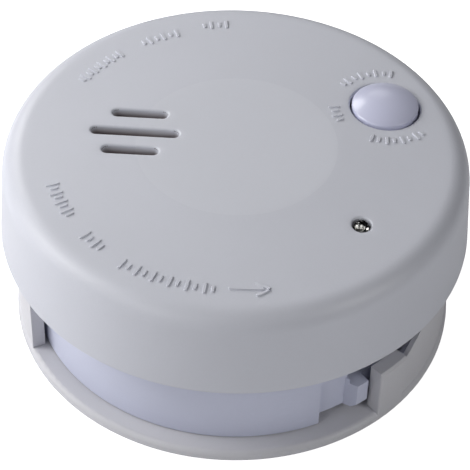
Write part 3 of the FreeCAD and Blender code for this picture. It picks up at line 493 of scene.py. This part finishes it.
def handling_group():
    """Where hands and tools have rubbed: fine scuffs that run every way, gathered in patches."""
    group, given, result = open_group("handling", [("Amount", 0.3), ("Patches per metre", 60.0)],
                                      [("Mask", "Float")])
    patch = maths(group, "SUBTRACT", noise(group, given["Patches per metre"], 2.0), 0.52)
    across = noise(group, 900.0, 4.0, (1.0, 0.12, 1.0))
    along = noise(group, 900.0, 4.0, (0.12, 1.0, 1.0))
    scuff = maths(group, "SUBTRACT", maths(group, "MAXIMUM", across, along), 0.58)
    both = maths(group, "MULTIPLY", maths(group, "MAXIMUM", patch, 0.0), maths(group, "MAXIMUM", scuff, 0.0))
    strength = maths(group, "MULTIPLY", given["Amount"], 35.0)
    plug(group, maths(group, "MINIMUM", maths(group, "MULTIPLY", both, strength), 1.0), result["Mask"])
    return group


def settled_dust_group():
    """Fine dust: it lies on faces that look up towards the room, thicker in clouds."""
    group, given, result = open_group("settled dust", [("Amount", 0.2)], [("Mask", "Float")])
    facing = group.nodes.new("ShaderNodeSeparateXYZ")
    geometry = group.nodes.new("ShaderNodeNewGeometry")
    group.links.new(geometry.outputs["Normal"], facing.inputs[0])
    level = maths(group, "POWER", maths(group, "MAXIMUM", facing.outputs["Z"], 0.0), 3.0)
    cloud = maths(group, "MULTIPLY", noise(group, 140.0, 5.0), level)
    plug(group, maths(group, "MULTIPLY", cloud, given["Amount"]), result["Mask"])
    return group


moulded_skin = moulded_skin_group()
handling = handling_group()
settled_dust = settled_dust_group()


def place_group(tree, group, **values):
    """Puts a shared group in a material with its own values; a value's name has _ for each space."""
    node = tree.nodes.new("ShaderNodeGroup")
    node.node_tree = group
    for label, value in values.items():
        node.inputs[label.replace("_", " ")].default_value = value
    return node.outputs


def new_material(name):
    material = bpy.data.materials.new(name)
    material.use_nodes = True
    return material, material.node_tree, material.node_tree.nodes["Principled BSDF"].inputs


def raise_skin(tree, skin, height, depth):
    """Feeds a height, in metres at full strength, into the material's normal."""
    bump = tree.nodes.new("ShaderNodeBump")
    bump.inputs["Distance"].default_value = depth
    tree.links.new(height, bump.inputs["Height"])
    tree.links.new(bump.outputs["Normal"], skin["Normal"])


def moulded_plastic(name, colour, roughness, mottle=0.04, grain=2500.0, depth=0.00002, coat=0.0, wear=0.25,
                    dust=0.08):
    material, tree, skin = new_material(name)
    moulded = place_group(tree, moulded_skin, Colour=(*colour, 1), Mottle=mottle, Grain_per_metre=grain,
                          Gloss=roughness)
    rubbed = place_group(tree, handling, Amount=wear)["Mask"]
    dusty = place_group(tree, settled_dust, Amount=dust)["Mask"]
    lighter = tuple(min(1.0, part * 1.12 + 0.02) for part in colour)
    tone = blend(tree, rubbed, moulded["Colour"], (*lighter, 1))
    plug(tree, blend(tree, dusty, tone, (0.46, 0.45, 0.43, 1)), skin["Base Color"])
    matt = maths(tree, "MULTIPLY_ADD", maths(tree, "ADD", rubbed, dusty), 0.15, moulded["Roughness"])
    plug(tree, matt, skin["Roughness"])
    raise_skin(tree, skin, moulded["Height"], depth)
    skin["Coat Weight"].default_value = coat
    return material


def paint_disc_sheen_and_slot_shade(material):
    """Painted light on the top: a paler disc painted as sheen, and dark brown painted shade deeper down in the
    sound slots.
    """
    tree = material.node_tree
    skin = tree.nodes["Principled BSDF"].inputs
    place = tree.nodes.new("ShaderNodeTexCoord")
    level = tree.nodes.new("ShaderNodeVectorMath")
    level.operation = "MULTIPLY"
    level.inputs[1].default_value = (1, 1, 0)
    reach = tree.nodes.new("ShaderNodeVectorMath")
    reach.operation = "LENGTH"
    tree.links.new(place.outputs["Object"], level.inputs[0])
    tree.links.new(level.outputs[0], reach.inputs[0])
    inside = maths(tree, "LESS_THAN", reach.outputs["Value"], CROWN_DISC_RADIUS * MM)
    tone = skin["Base Color"].links[0].from_socket
    # Painted sheen: the flat disc in the middle is painted paler than the rest of the top.
    tone = blend(tree, maths(tree, "MULTIPLY", inside, DISC_PAINTED_SHEEN), tone, (0.73, 0.745, 0.80, 1))
    split = tree.nodes.new("ShaderNodeSeparateXYZ")
    tree.links.new(place.outputs["Object"], split.inputs[0])
    depth = maths(tree, "SUBTRACT", (COVER_TOP - SLOT_SHADE_START) * MM, split.outputs["Z"])
    share = maths(tree, "MAXIMUM", maths(tree, "MULTIPLY", depth, SLOT_SHADE_PER_METRE), 0.0)
    share = maths(tree, "MINIMUM", share, 1.0)
    near = maths(tree, "LESS_THAN", reach.outputs["Value"], SLOT_SHADE_REACH * MM)
    ceiling = COVER_TOP - CROWN_DROP - COVER_WALL
    above = maths(tree, "GREATER_THAN", split.outputs["Z"], (ceiling - 0.1) * MM)
    # Painted shade: near the middle, the slot walls darken to brown the deeper they lie below the top.
    slot_shade = maths(tree, "MULTIPLY", share, maths(tree, "MULTIPLY", near, above))
    plug(tree, blend(tree, slot_shade, tone, (0.13, 0.075, 0.055, 1)), skin["Base Color"])


cover_plastic = moulded_plastic("cover_plastic", (0.61, 0.625, 0.695), 0.42, wear=0.04)
paint_disc_sheen_and_slot_shade(cover_plastic)
build_cover(cover_plastic)


# ---------------------------------------------------------------- test button
# A domed push button in smoother, slightly bluer plastic. A flange under the cover keeps it in, and its
# stem reaches down to the switch on the board.

def build_button(material):
    low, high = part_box("test_button")
    centre = ((low.x + high.x) / 2 / MM, (low.y + high.y) / 2 / MM)
    flange = (high.x - low.x) / 2 / MM
    cap, stem, dome, edge = 7.1, 2.4, 1.9, 0.55
    top, bottom = high.z / MM, low.z / MM
    flange_top = COVER_TOP - CROWN_DROP - COVER_WALL - 0.1
    ball = (cap * cap + dome * dome) / (2 * dome)
    tip = math.asin(cap / ball)
    crown = [(ball * math.sin(tip * step / 14), top - ball * (1 - math.cos(tip * step / 14)))
             for step in range(14)]
    shoulder = rounded_outline([(*crown[-1], 0), (cap, top - dome, edge), (cap, flange_top, 0.2),
                                (flange, flange_top, 0.15), (flange, flange_top - 1.0, 0.15),
                                (stem, flange_top - 1.0, 0.3), (stem, bottom, 0.2), (0, bottom, 0)], 5)
    bm = bmesh.new()
    lathe(bm, crown + shoulder[1:], 96, centre)
    return finish_mesh(bm, "button_cap", material, "button", ["test_button"])


button_plastic = moulded_plastic("button_plastic", (0.605, 0.62, 0.79), 0.3, mottle=0.02, depth=0.000006,
                                 coat=0.2)
build_button(button_plastic)


# ---------------------------------------------------------------- button spring, switch and plunger
# A coil of drawn spring steel pushes the button back up. Under it stands a square tact switch, soldered
# to the board, whose round plunger is glossy black nylon.

def drawn_metal_group():
    """Drawn or rolled metal: fine lines along one way, duller where it has tarnished."""
    group, given, result = open_group("drawn metal", [("Colour", (0.7, 0.7, 0.7, 1)), ("Tarnish", 0.3),
                                                      ("Lines per metre", 4000.0), ("Gloss", 0.3)],
                                      [("Colour", "Color"), ("Roughness", "Float"), ("Height", "Float")])
    lines = noise(group, given["Lines per metre"], 3.0, (0.06, 1.0, 1.0))
    cloud = noise(group, 250.0, 5.0)
    aged = maths(group, "MULTIPLY", maths(group, "MAXIMUM", maths(group, "SUBTRACT", cloud, 0.45), 0.0),
                 maths(group, "MULTIPLY", given["Tarnish"], 3.0))
    plug(group, blend(group, aged, given["Colour"], (0.16, 0.13, 0.11, 1)), result["Colour"])
    rough = maths(group, "MULTIPLY_ADD", lines, 0.15, given["Gloss"])
    plug(group, maths(group, "MULTIPLY_ADD", aged, 0.5, rough), result["Roughness"])
    plug(group, lines, result["Height"])
    return group


drawn_metal = drawn_metal_group()


def worked_metal(name, colour, roughness, tarnish=0.3, lines=4000.0, depth=0.000004):
    material, tree, skin = new_material(name)
    drawn = place_group(tree, drawn_metal, Colour=(*colour, 1), Tarnish=tarnish, Lines_per_metre=lines,
                        Gloss=roughness)
    rubbed = place_group(tree, handling, Amount=0.4)["Mask"]
    lighter = tuple(min(1.0, part * 1.2) for part in colour)
    plug(tree, blend(tree, rubbed, drawn["Colour"], (*lighter, 1)), skin["Base Color"])
    plug(tree, drawn["Roughness"], skin["Roughness"])
    raise_skin(tree, skin, drawn["Height"], depth)
    skin["Metallic"].default_value = 1.0
    return material


def dress(material, *nodes):
    """Gives CAD pieces whose shape is right their real finish."""
    for node in nodes:
        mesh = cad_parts[node].data
        mesh.materials.clear()
        mesh.materials.append(material)


black_plastic = moulded_plastic("black_plastic", (0.018, 0.018, 0.02), 0.38, mottle=0.2, grain=3200.0,
                                dust=0.03)
dress(worked_metal("spring_steel", (0.42, 0.41, 0.40), 0.28), "button_spring")
dress(black_plastic, "test_switch", "switch_plunger")


# ---------------------------------------------------------------- status light
# A 3 mm light in clear cast resin: a domed lens over a stamped lead frame, whose one post carries a small
# reflector cup with the chip. It stands on a black spacer, and its two leads pass through to the board.

def build_light_lens():
    low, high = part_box("status_led")
    radius, flange = 1.6, 1.9
    bottom, top = low.z / MM, high.z / MM
    turns = [math.pi / 2 * step / 12 for step in range(12)]
    dome = [(radius * math.sin(turn), top - radius + radius * math.cos(turn)) for turn in turns]
    body = rounded_outline([(radius, top - radius, 0), (radius, bottom + 0.8, 0.1),
                            (flange, bottom + 0.8, 0.1), (flange, bottom, 0.1), (0, bottom, 0)], 4)
    bm = bmesh.new()
    lathe(bm, dome + body, 48, LIGHT_CENTRE)
    resin, tree, skin = new_material("clear_resin")
    skin["Base Color"].default_value = (0.97, 0.98, 0.96, 1)
    skin["Transmission Weight"].default_value = 1.0
    skin["IOR"].default_value = 1.53
    cloud = noise(tree, 1500.0, 3.0)
    plug(tree, maths(tree, "MULTIPLY_ADD", cloud, 0.05, 0.005), skin["Roughness"])
    raise_skin(tree, skin, cloud, 0.000003)
    return finish_mesh(bm, "light_lens", resin, "head", ["status_led"])


def add_bar(bm, low, high, bevel=0.05):
    """A rectangular bar between two corners in millimetres, its edges softened."""
    made = bmesh.ops.create_cube(bm, size=1.0)["verts"]
    for vert in made:
        vert.co = Vector([(low[k] + high[k]) / 2 + vert.co[k] * (high[k] - low[k]) for k in range(3)]) * MM
    edges = list({edge for vert in made for edge in vert.link_edges})
    bmesh.ops.bevel(bm, geom=edges, offset=bevel * MM, segments=2, profile=0.5, affect="EDGES",
                    clamp_overlap=True)


def build_light_frame(material):
    low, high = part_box("status_led")
    bottom, cup = low.z / MM + 0.05, high.z / MM - 1.9
    x, y = LIGHT_CENTRE
    bm = bmesh.new()
    add_bar(bm, (x - 1.45, y - 0.22, bottom), (x - 1.05, y + 0.22, cup - 0.35))
    add_bar(bm, (x - 1.45, y - 0.3, cup - 0.75), (x + 0.1, y + 0.3, cup - 0.35))
    add_bar(bm, (x + 1.05, y - 0.22, bottom), (x + 1.45, y + 0.22, cup - 0.5))
    add_bar(bm, (x + 0.62, y - 0.25, cup - 0.5), (x + 1.45, y + 0.25, cup + 0.1))
    lathe(bm, [(0, cup - 0.4), (0.42, cup - 0.4), (0.72, cup + 0.15), (0.62, cup + 0.15), (0.34, cup - 0.2),
               (0, cup - 0.2)], 24, (x - 0.25, y))
    add_bar(bm, (x - 0.42, y - 0.17, cup - 0.22), (x - 0.08, y + 0.17, cup - 0.02), 0.02)
    return finish_mesh(bm, "light_frame", material, "head", crease=35)


tinned_metal = worked_metal("tinned_metal", (0.70, 0.69, 0.67), 0.22, tarnish=0.25)
build_light_lens()
build_light_frame(tinned_metal)
dress(tinned_metal, "led_leads")
dress(black_plastic, "led_spacer")


# ---------------------------------------------------------------- base housing
# A shallow cup moulded in a cooler, faintly violet plastic. It carries the lock lugs, the front band, the
# release-stop rib, the air windows, the battery's bay and the posts, and screws up into the cover.

base_plastic = moulded_plastic("base_plastic", (0.585, 0.61, 0.755), 0.38, dust=0.04)
dress(base_plastic, "base_housing")


# ---------------------------------------------------------------- mounting bracket
# The ring that screws to the ceiling, with a tall wall, three hooks for the turn lock and a ramp beside
# the stop block. It is moulded in a plain light grey of the same plastic.

bracket_plastic = moulded_plastic("bracket_plastic", (0.605, 0.605, 0.645), 0.45, wear=0.2, dust=0.05)
dress(bracket_plastic, "mounting_bracket")


# ---------------------------------------------------------------- circuit board
# A round of green glass-epoxy laminate with copper tracks under the lacquer. Two screws, three posts and
# the battery contacts pass through it, and each lead ends in a small cone of solder on the back.

CAPACITORS = ((13.0, 24.0, 3.0, 9.5), (20.0, 25.5, 2.5, 8.0), (-4.0, 28.5, 2.5, 7.0))
COIL_CENTRE = (-10.0, 23.5)
RESISTOR_SEATS = ([((-2.0 + 2.6 * step, 8.0), (0, 1)) for step in range(4)]
                  + [((26.0, -2.4 - 2.6 * step), (1, 0)) for step in range(3)])


def board_laminate_material():
    material, tree, skin = new_material("board_laminate")
    place = tree.nodes.new("ShaderNodeTexCoord")
    tracks = tree.nodes.new("ShaderNodeTexBrick")
    tracks.offset = 0.37
    tracks.inputs["Scale"].default_value = 120.0
    tracks.inputs["Mortar Size"].default_value = 0.045
    tracks.inputs["Mortar Smooth"].default_value = 0.2
    tracks.inputs["Color1"].default_value = (0, 0, 0, 1)
    tracks.inputs["Color2"].default_value = (0, 0, 0, 1)
    tracks.inputs["Mortar"].default_value = (1, 1, 1, 1)
    tree.links.new(place.outputs["Object"], tracks.inputs["Vector"])
    kept = maths(tree, "GREATER_THAN", noise(tree, 160.0, 1.0), 0.47)
    copper = maths(tree, "MULTIPLY", tracks.outputs["Color"], kept)
    weave = noise(tree, 2600.0, 1.0, (1.0, 0.3, 1.0))
    laminate = blend(tree, weave, (0.012, 0.075, 0.028, 1), (0.022, 0.11, 0.045, 1))
    plug(tree, blend(tree, copper, laminate, (0.05, 0.20, 0.07, 1)), skin["Base Color"])
    plug(tree, maths(tree, "MULTIPLY_ADD", weave, 0.12, 0.28), skin["Roughness"])
    raise_skin(tree, skin, maths(tree, "MULTIPLY_ADD", weave, 0.2, copper), 0.00003)
    skin["Coat Weight"].default_value = 0.4
    return material


def build_solder(material):
    """Solder cones on the back of the board, under the leads of the parts above."""
    low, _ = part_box("circuit_board")
    spots = [(LIGHT_CENTRE[0] - 1.27, LIGHT_CENTRE[1]), (LIGHT_CENTRE[0] + 1.27, LIGHT_CENTRE[1])]
    for x, y, radius, _ in CAPACITORS:
        spots += [(x - radius / 2, y), (x + radius / 2, y)]
    spots += [(COIL_CENTRE[0] - 2.5, COIL_CENTRE[1]), (COIL_CENTRE[0] + 2.5, COIL_CENTRE[1])]
    for start, along in RESISTOR_SEATS:
        spots += [tuple(Vector(start) - Vector(along) * 1.6), tuple(Vector(start) + Vector(along) * 6.6)]
    bm = bmesh.new()
    face = low.z / MM
    for x, y in spots:
        lathe(bm, [(0.75, face), (0.5, face - 0.18), (0.34, face - 0.55), (0, face - 0.7)], 16, (x, y))
    return finish_mesh(bm, "board_solder", material, "head")


dress(board_laminate_material(), "circuit_board")
build_solder(tinned_metal)


# ---------------------------------------------------------------- chip, capacitors, resistors and coil
# What stands on the board: a moulded chip on bent legs, sleeved capacitors with scored metal tops, small
# banded resistors on wire leads, and a ferrite drum wound with enamelled copper wire.

def build_chip(material, legs):
    low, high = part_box("control_chip")
    left, right = low.x / MM, high.x / MM
    front, back = low.y / MM, high.y / MM
    bottom, top = low.z / MM, high.z / MM
    bm = bmesh.new()
    add_bar(bm, (left, front + 1.1, bottom + 0.3), (right, back - 1.1, top), 0.18)
    lathe(bm, [(0.45, top + 0.01), (0.38, top + 0.03), (0, top + 0.03)], 20, (left + 1.0, front + 1.9))
    body = finish_mesh(bm, "chip_body", material, "head", ["control_chip"], 30)
    bm = bmesh.new()
    for step in range(8):
        x = left + 0.65 + step * (right - left - 1.3) / 7
        for inside, outside in ((front + 1.15, front), (back - 1.15, back)):
            toward = math.copysign(1, outside - inside)
            near, far = sorted((inside, outside - toward * 0.55))
            add_bar(bm, (x - 0.2, near, bottom + 1.1), (x + 0.2, far, bottom + 1.3), 0.03)
            near, far = sorted((outside - toward * 0.75, outside - toward * 0.5))
            add_bar(bm, (x - 0.2, near, bottom + 0.1), (x + 0.2, far, bottom + 1.3), 0.03)
            near, far = sorted((outside - toward * 0.75, outside))
            add_bar(bm, (x - 0.2, near, bottom), (x + 0.2, far, bottom + 0.2), 0.03)
    finish_mesh(bm, "chip_legs", legs, "head", crease=30)
    return body


def build_capacitors(sleeve, metal):
    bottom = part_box("capacitors")[0].z / MM
    for number, (x, y, radius, height) in enumerate(CAPACITORS, 1):
        top = bottom + height
        bm = bmesh.new()
        lathe(bm, rounded_outline([(0, bottom, 0), (radius - 0.3, bottom, 0.15), (radius, bottom + 0.4, 0.2),
                                   (radius, bottom + 1.1, 0.1), (radius - 0.18, bottom + 1.4, 0.15),
                                   (radius, bottom + 1.7, 0.1), (radius, top, 0.35),
                                   (radius - 0.7, top - 0.02, 0)], 4),
              48, (x, y))
        stands_for = ["capacitors"] if number == 1 else []
        finish_mesh(bm, f"capacitor_sleeve_{number}", sleeve, "head", stands_for)
        bm = bmesh.new()
        lathe(bm, [(radius - 0.7, top - 0.05), (radius - 0.9, top - 0.12), (0, top - 0.12)], 48, (x, y))
        for turn in (0.6, 0.6 + math.pi / 2):
            reach = Vector((math.cos(turn), math.sin(turn))) * (radius - 1.3)
            for side in (1, -1):
                spot = Vector((x, y)) + reach * side / 2
                add_bar(bm, (spot.x - 0.3, spot.y - 0.3, top - 0.13),
                        (spot.x + 0.3, spot.y + 0.3, top - 0.1), 0.01)
        finish_mesh(bm, f"capacitor_top_{number}", metal, "head")


def clay_lacquer_material():
    """Sand-coloured lacquer, faintly speckled."""
    material, tree, skin = new_material("resistor_body")
    pores = noise(tree, 3000.0, 3.0)
    plug(tree, blend(tree, pores, (0.50, 0.36, 0.20, 1), (0.60, 0.45, 0.27, 1)), skin["Base Color"])
    plug(tree, maths(tree, "MULTIPLY_ADD", pores, 0.2, 0.3), skin["Roughness"])
    raise_skin(tree, skin, pores, 0.00001)
    return material


def build_resistors(clay, rings, metal):
    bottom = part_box("resistors")[0].z / MM
    length, lift = 5.0, 0.9
    half = [(0, 0.0), (0.45, 0.0), (0.8, 0.3), (0.88, 0.8), (0.8, 1.3), (0.74, 1.7)]
    profile = half + [(radius, length - along) for radius, along in reversed(half)]
    bands = ((0.65, 0.95), (1.75, 2.05), (2.4, 2.7), (4.05, 4.35))
    for name, material, keep, slot in (("resistor_bodies", clay, None, "resistor_body"),
                                       ("resistor_rings", rings, bands, None),
                                       ("resistor_leads", metal, (), "tinned_metal")):
        bm = bmesh.new()
        for start, along in RESISTOR_SEATS:
            before = set(bm.verts)
            if keep is None:
                lathe(bm, profile, 20)
            elif keep:
                for low, high in keep:
                    lathe(bm, [(0.7, low), (0.905, low), (0.905, high), (0.7, high)], 20, closed=True)
            else:
                lathe(bm, [(0, -1.6), (0.25, -1.6), (0.25, 0.1)], 10)
                lathe(bm, [(0.25, 4.9), (0.25, 6.6), (0, 6.6)], 10)
            for vert in set(bm.verts) - before:
                x, y, z = vert.co
                turned = (z, -x, y) if along == (1, 0) else (x, z, y)
                vert.co = Vector((*start, bottom + lift)) * MM + Vector(turned)
            if keep == ():
                for shift in (-1.6, length + 1.6):
                    x, y = Vector(start) + Vector(along) * shift
                    lathe(bm, [(0, bottom), (0.25, bottom), (0.25, bottom + lift + 0.2),
                               (0, bottom + lift + 0.25)], 10, (x, y))
        stands_for = ["resistors"] if keep is None else []
        finish_mesh(bm, name, material, "head", stands_for)


def build_coil(ferrite, copper):
    low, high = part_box("boost_coil")
    bottom, top, flange = low.z / MM, high.z / MM, 4.0
    bm = bmesh.new()
    lathe(bm, rounded_outline([(0, bottom, 0), (flange, bottom, 0.15), (flange, bottom + 1.0, 0.15),
                               (3.0, bottom + 1.0, 0.1), (3.0, top - 1.0, 0.1), (flange, top - 1.0, 0.15),
                               (flange, top, 0.2), (1.0, top, 0.1), (0.9, top - 0.8, 0), (0, top - 0.8, 0)], 3),
          48, COIL_CENTRE)
    finish_mesh(bm, "coil_drum", ferrite, "head", ["boost_coil"])
    bm = bmesh.new()
    turns = 14
    pitch = (top - bottom - 2.2) / turns
    wound = [(3.05, bottom + 1.1)]
    for turn in range(turns):
        for step in range(1, 7):
            angle = math.pi * step / 7
            height = bottom + 1.1 + pitch * (turn + (1 - math.cos(angle)) / 2)
            wound.append((3.35 + pitch / 2 * math.sin(angle), height))
    wound.append((3.05, top - 1.1))
    lathe(bm, wound, 48, COIL_CENTRE)
    return finish_mesh(bm, "coil_winding", copper, "head")


chip_resin = moulded_plastic("chip_resin", (0.022, 0.022, 0.024), 0.5, mottle=0.3, grain=6000.0, dust=0.06)
sleeve_blue = moulded_plastic("capacitor_sleeve", (0.025, 0.05, 0.14), 0.3, mottle=0.06, grain=1500.0,
                              dust=0.05)
ring_paint = moulded_plastic("resistor_rings", (0.16, 0.05, 0.02), 0.35, mottle=0.2, grain=3000.0)
ferrite = moulded_plastic("ferrite", (0.045, 0.043, 0.042), 0.55, mottle=0.5, grain=5000.0, depth=0.00003)
build_chip(chip_resin, tinned_metal)
build_capacitors(sleeve_blue, tinned_metal)
build_resistors(clay_lacquer_material(), ring_paint, tinned_metal)
build_coil(ferrite, worked_metal("enamelled_copper", (0.72, 0.28, 0.12), 0.25, tarnish=0.15))


# ---------------------------------------------------------------- sounder
# A moulded cup on the board holds a brass disc with a fired ceramic face, which three sprung pins feed.
# The horn above it leads the sound up to the three slots in the cover.

def fired_ceramic_material():
    """Silvered ceramic: a chalky, faintly speckled grey with a soft metallic bloom."""
    material, tree, skin = new_material("ceramic")
    speckle = noise(tree, 2200.0, 4.0)
    plug(tree, blend(tree, speckle, (0.55, 0.54, 0.50, 1), (0.74, 0.73, 0.70, 1)), skin["Base Color"])
    plug(tree, maths(tree, "MULTIPLY_ADD", speckle, 0.25, 0.35), skin["Roughness"])
    skin["Metallic"].default_value = 0.5
    raise_skin(tree, skin, speckle, 0.00001)
    return material


sounder_plastic = moulded_plastic("sounder_plastic", (0.03, 0.027, 0.025), 0.45, mottle=0.15, dust=0.1)
dress(sounder_plastic, "sounder_cup", "sounder_horn")
dress(worked_metal("brass", (0.80, 0.60, 0.26), 0.25, tarnish=0.4, lines=3000.0), "piezo_disc")
dress(fired_ceramic_material(), "piezo_ceramic")
dress(tinned_metal, "piezo_pins")


# ---------------------------------------------------------------- smoke chamber
# A black labyrinth that lets smoke in but not light: a floor with slanted vanes, a lid, and a perforated
# steel band against insects. An infrared emitter and a receiver look into it from two saddles.

dress(moulded_plastic("chamber_plastic", (0.012, 0.012, 0.013), 0.6, mottle=0.3, depth=0.00004, dust=0.12),
      "chamber_base", "chamber_cap")
dress(worked_metal("screen_steel", (0.46, 0.46, 0.47), 0.32, tarnish=0.35, lines=7000.0), "insect_screen")
sensor_resin = moulded_plastic("sensor_resin", (0.035, 0.012, 0.03), 0.12, mottle=0.1, depth=0.000002,
                               coat=0.6)
dress(sensor_resin, "infrared_emitter", "light_receiver")


# ---------------------------------------------------------------- battery and its contacts
# A nine-volt block: a rolled steel jacket lacquered in two plain colours and crimped over black end
# plates, with a stud and a socket at one end. Two sprung strips in the bay press on them.

def battery_jacket_material(first, last):
    """Dark blue-green lacquer with a plain silver band towards the terminals, over rolled steel."""
    material, tree, skin = new_material("battery_jacket")
    place = tree.nodes.new("ShaderNodeTexCoord")
    where = tree.nodes.new("ShaderNodeSeparateXYZ")
    tree.links.new(place.outputs["Object"], where.inputs[0])
    band = maths(tree, "GREATER_THAN", where.outputs["X"], first + (last - first) * 0.7)
    flake = noise(tree, 5000.0, 2.0, (0.2, 1.0, 1.0))
    dark = blend(tree, flake, (0.012, 0.06, 0.075, 1), (0.02, 0.085, 0.10, 1))
    pale = blend(tree, flake, (0.42, 0.44, 0.46, 1), (0.58, 0.60, 0.62, 1))
    rubbed = place_group(tree, handling, Amount=0.6)["Mask"]
    lacquer = blend(tree, band, dark, pale)
    plug(tree, blend(tree, rubbed, lacquer, (0.5, 0.49, 0.47, 1)), skin["Base Color"])
    plug(tree, maths(tree, "MULTIPLY_ADD", flake, 0.2, 0.22), skin["Roughness"])
    plug(tree, maths(tree, "MULTIPLY_ADD", band, 0.5, 0.3), skin["Metallic"])
    raise_skin(tree, skin, flake, 0.000006)
    return material


def build_battery(jacket, plate):
    low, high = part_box("battery_case")
    case_low = [part / MM for part in low]
    case_high = [part / MM for part in high]
    bm = bmesh.new()
    add_bar(bm, case_low, case_high, 1.7)
    finish_mesh(bm, "battery_case_jacket", jacket, "battery", ["battery_case"], 60)
    low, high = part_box("battery_end_cap")
    bm = bmesh.new()
    plate_low = [part / MM + 0.15 for part in low]
    plate_high = [part / MM - (0.15 if axis else 0.0) for axis, part in enumerate(high)]
    add_bar(bm, plate_low, plate_high, 0.6)
    return finish_mesh(bm, "battery_end_plate", plate, "battery", ["battery_end_cap"], 60)


case_low, case_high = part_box("battery_case")
build_battery(battery_jacket_material(case_low.x, case_high.x), black_plastic)
dress(worked_metal("terminal_nickel", (0.66, 0.63, 0.58), 0.2, tarnish=0.2), "battery_terminals",
      "battery_contact_positive", "battery_contact_negative")


# ---------------------------------------------------------------- screws
# Pan-head steel screws with a cross recess, zinc plated: three long ones pull the base up to the cover's
# posts from inside deep wells, and three short ones hold the board.

dress(worked_metal("screw_steel", (0.56, 0.56, 0.55), 0.25, tarnish=0.3, lines=6000.0), "cover_screws",
      "board_screws")
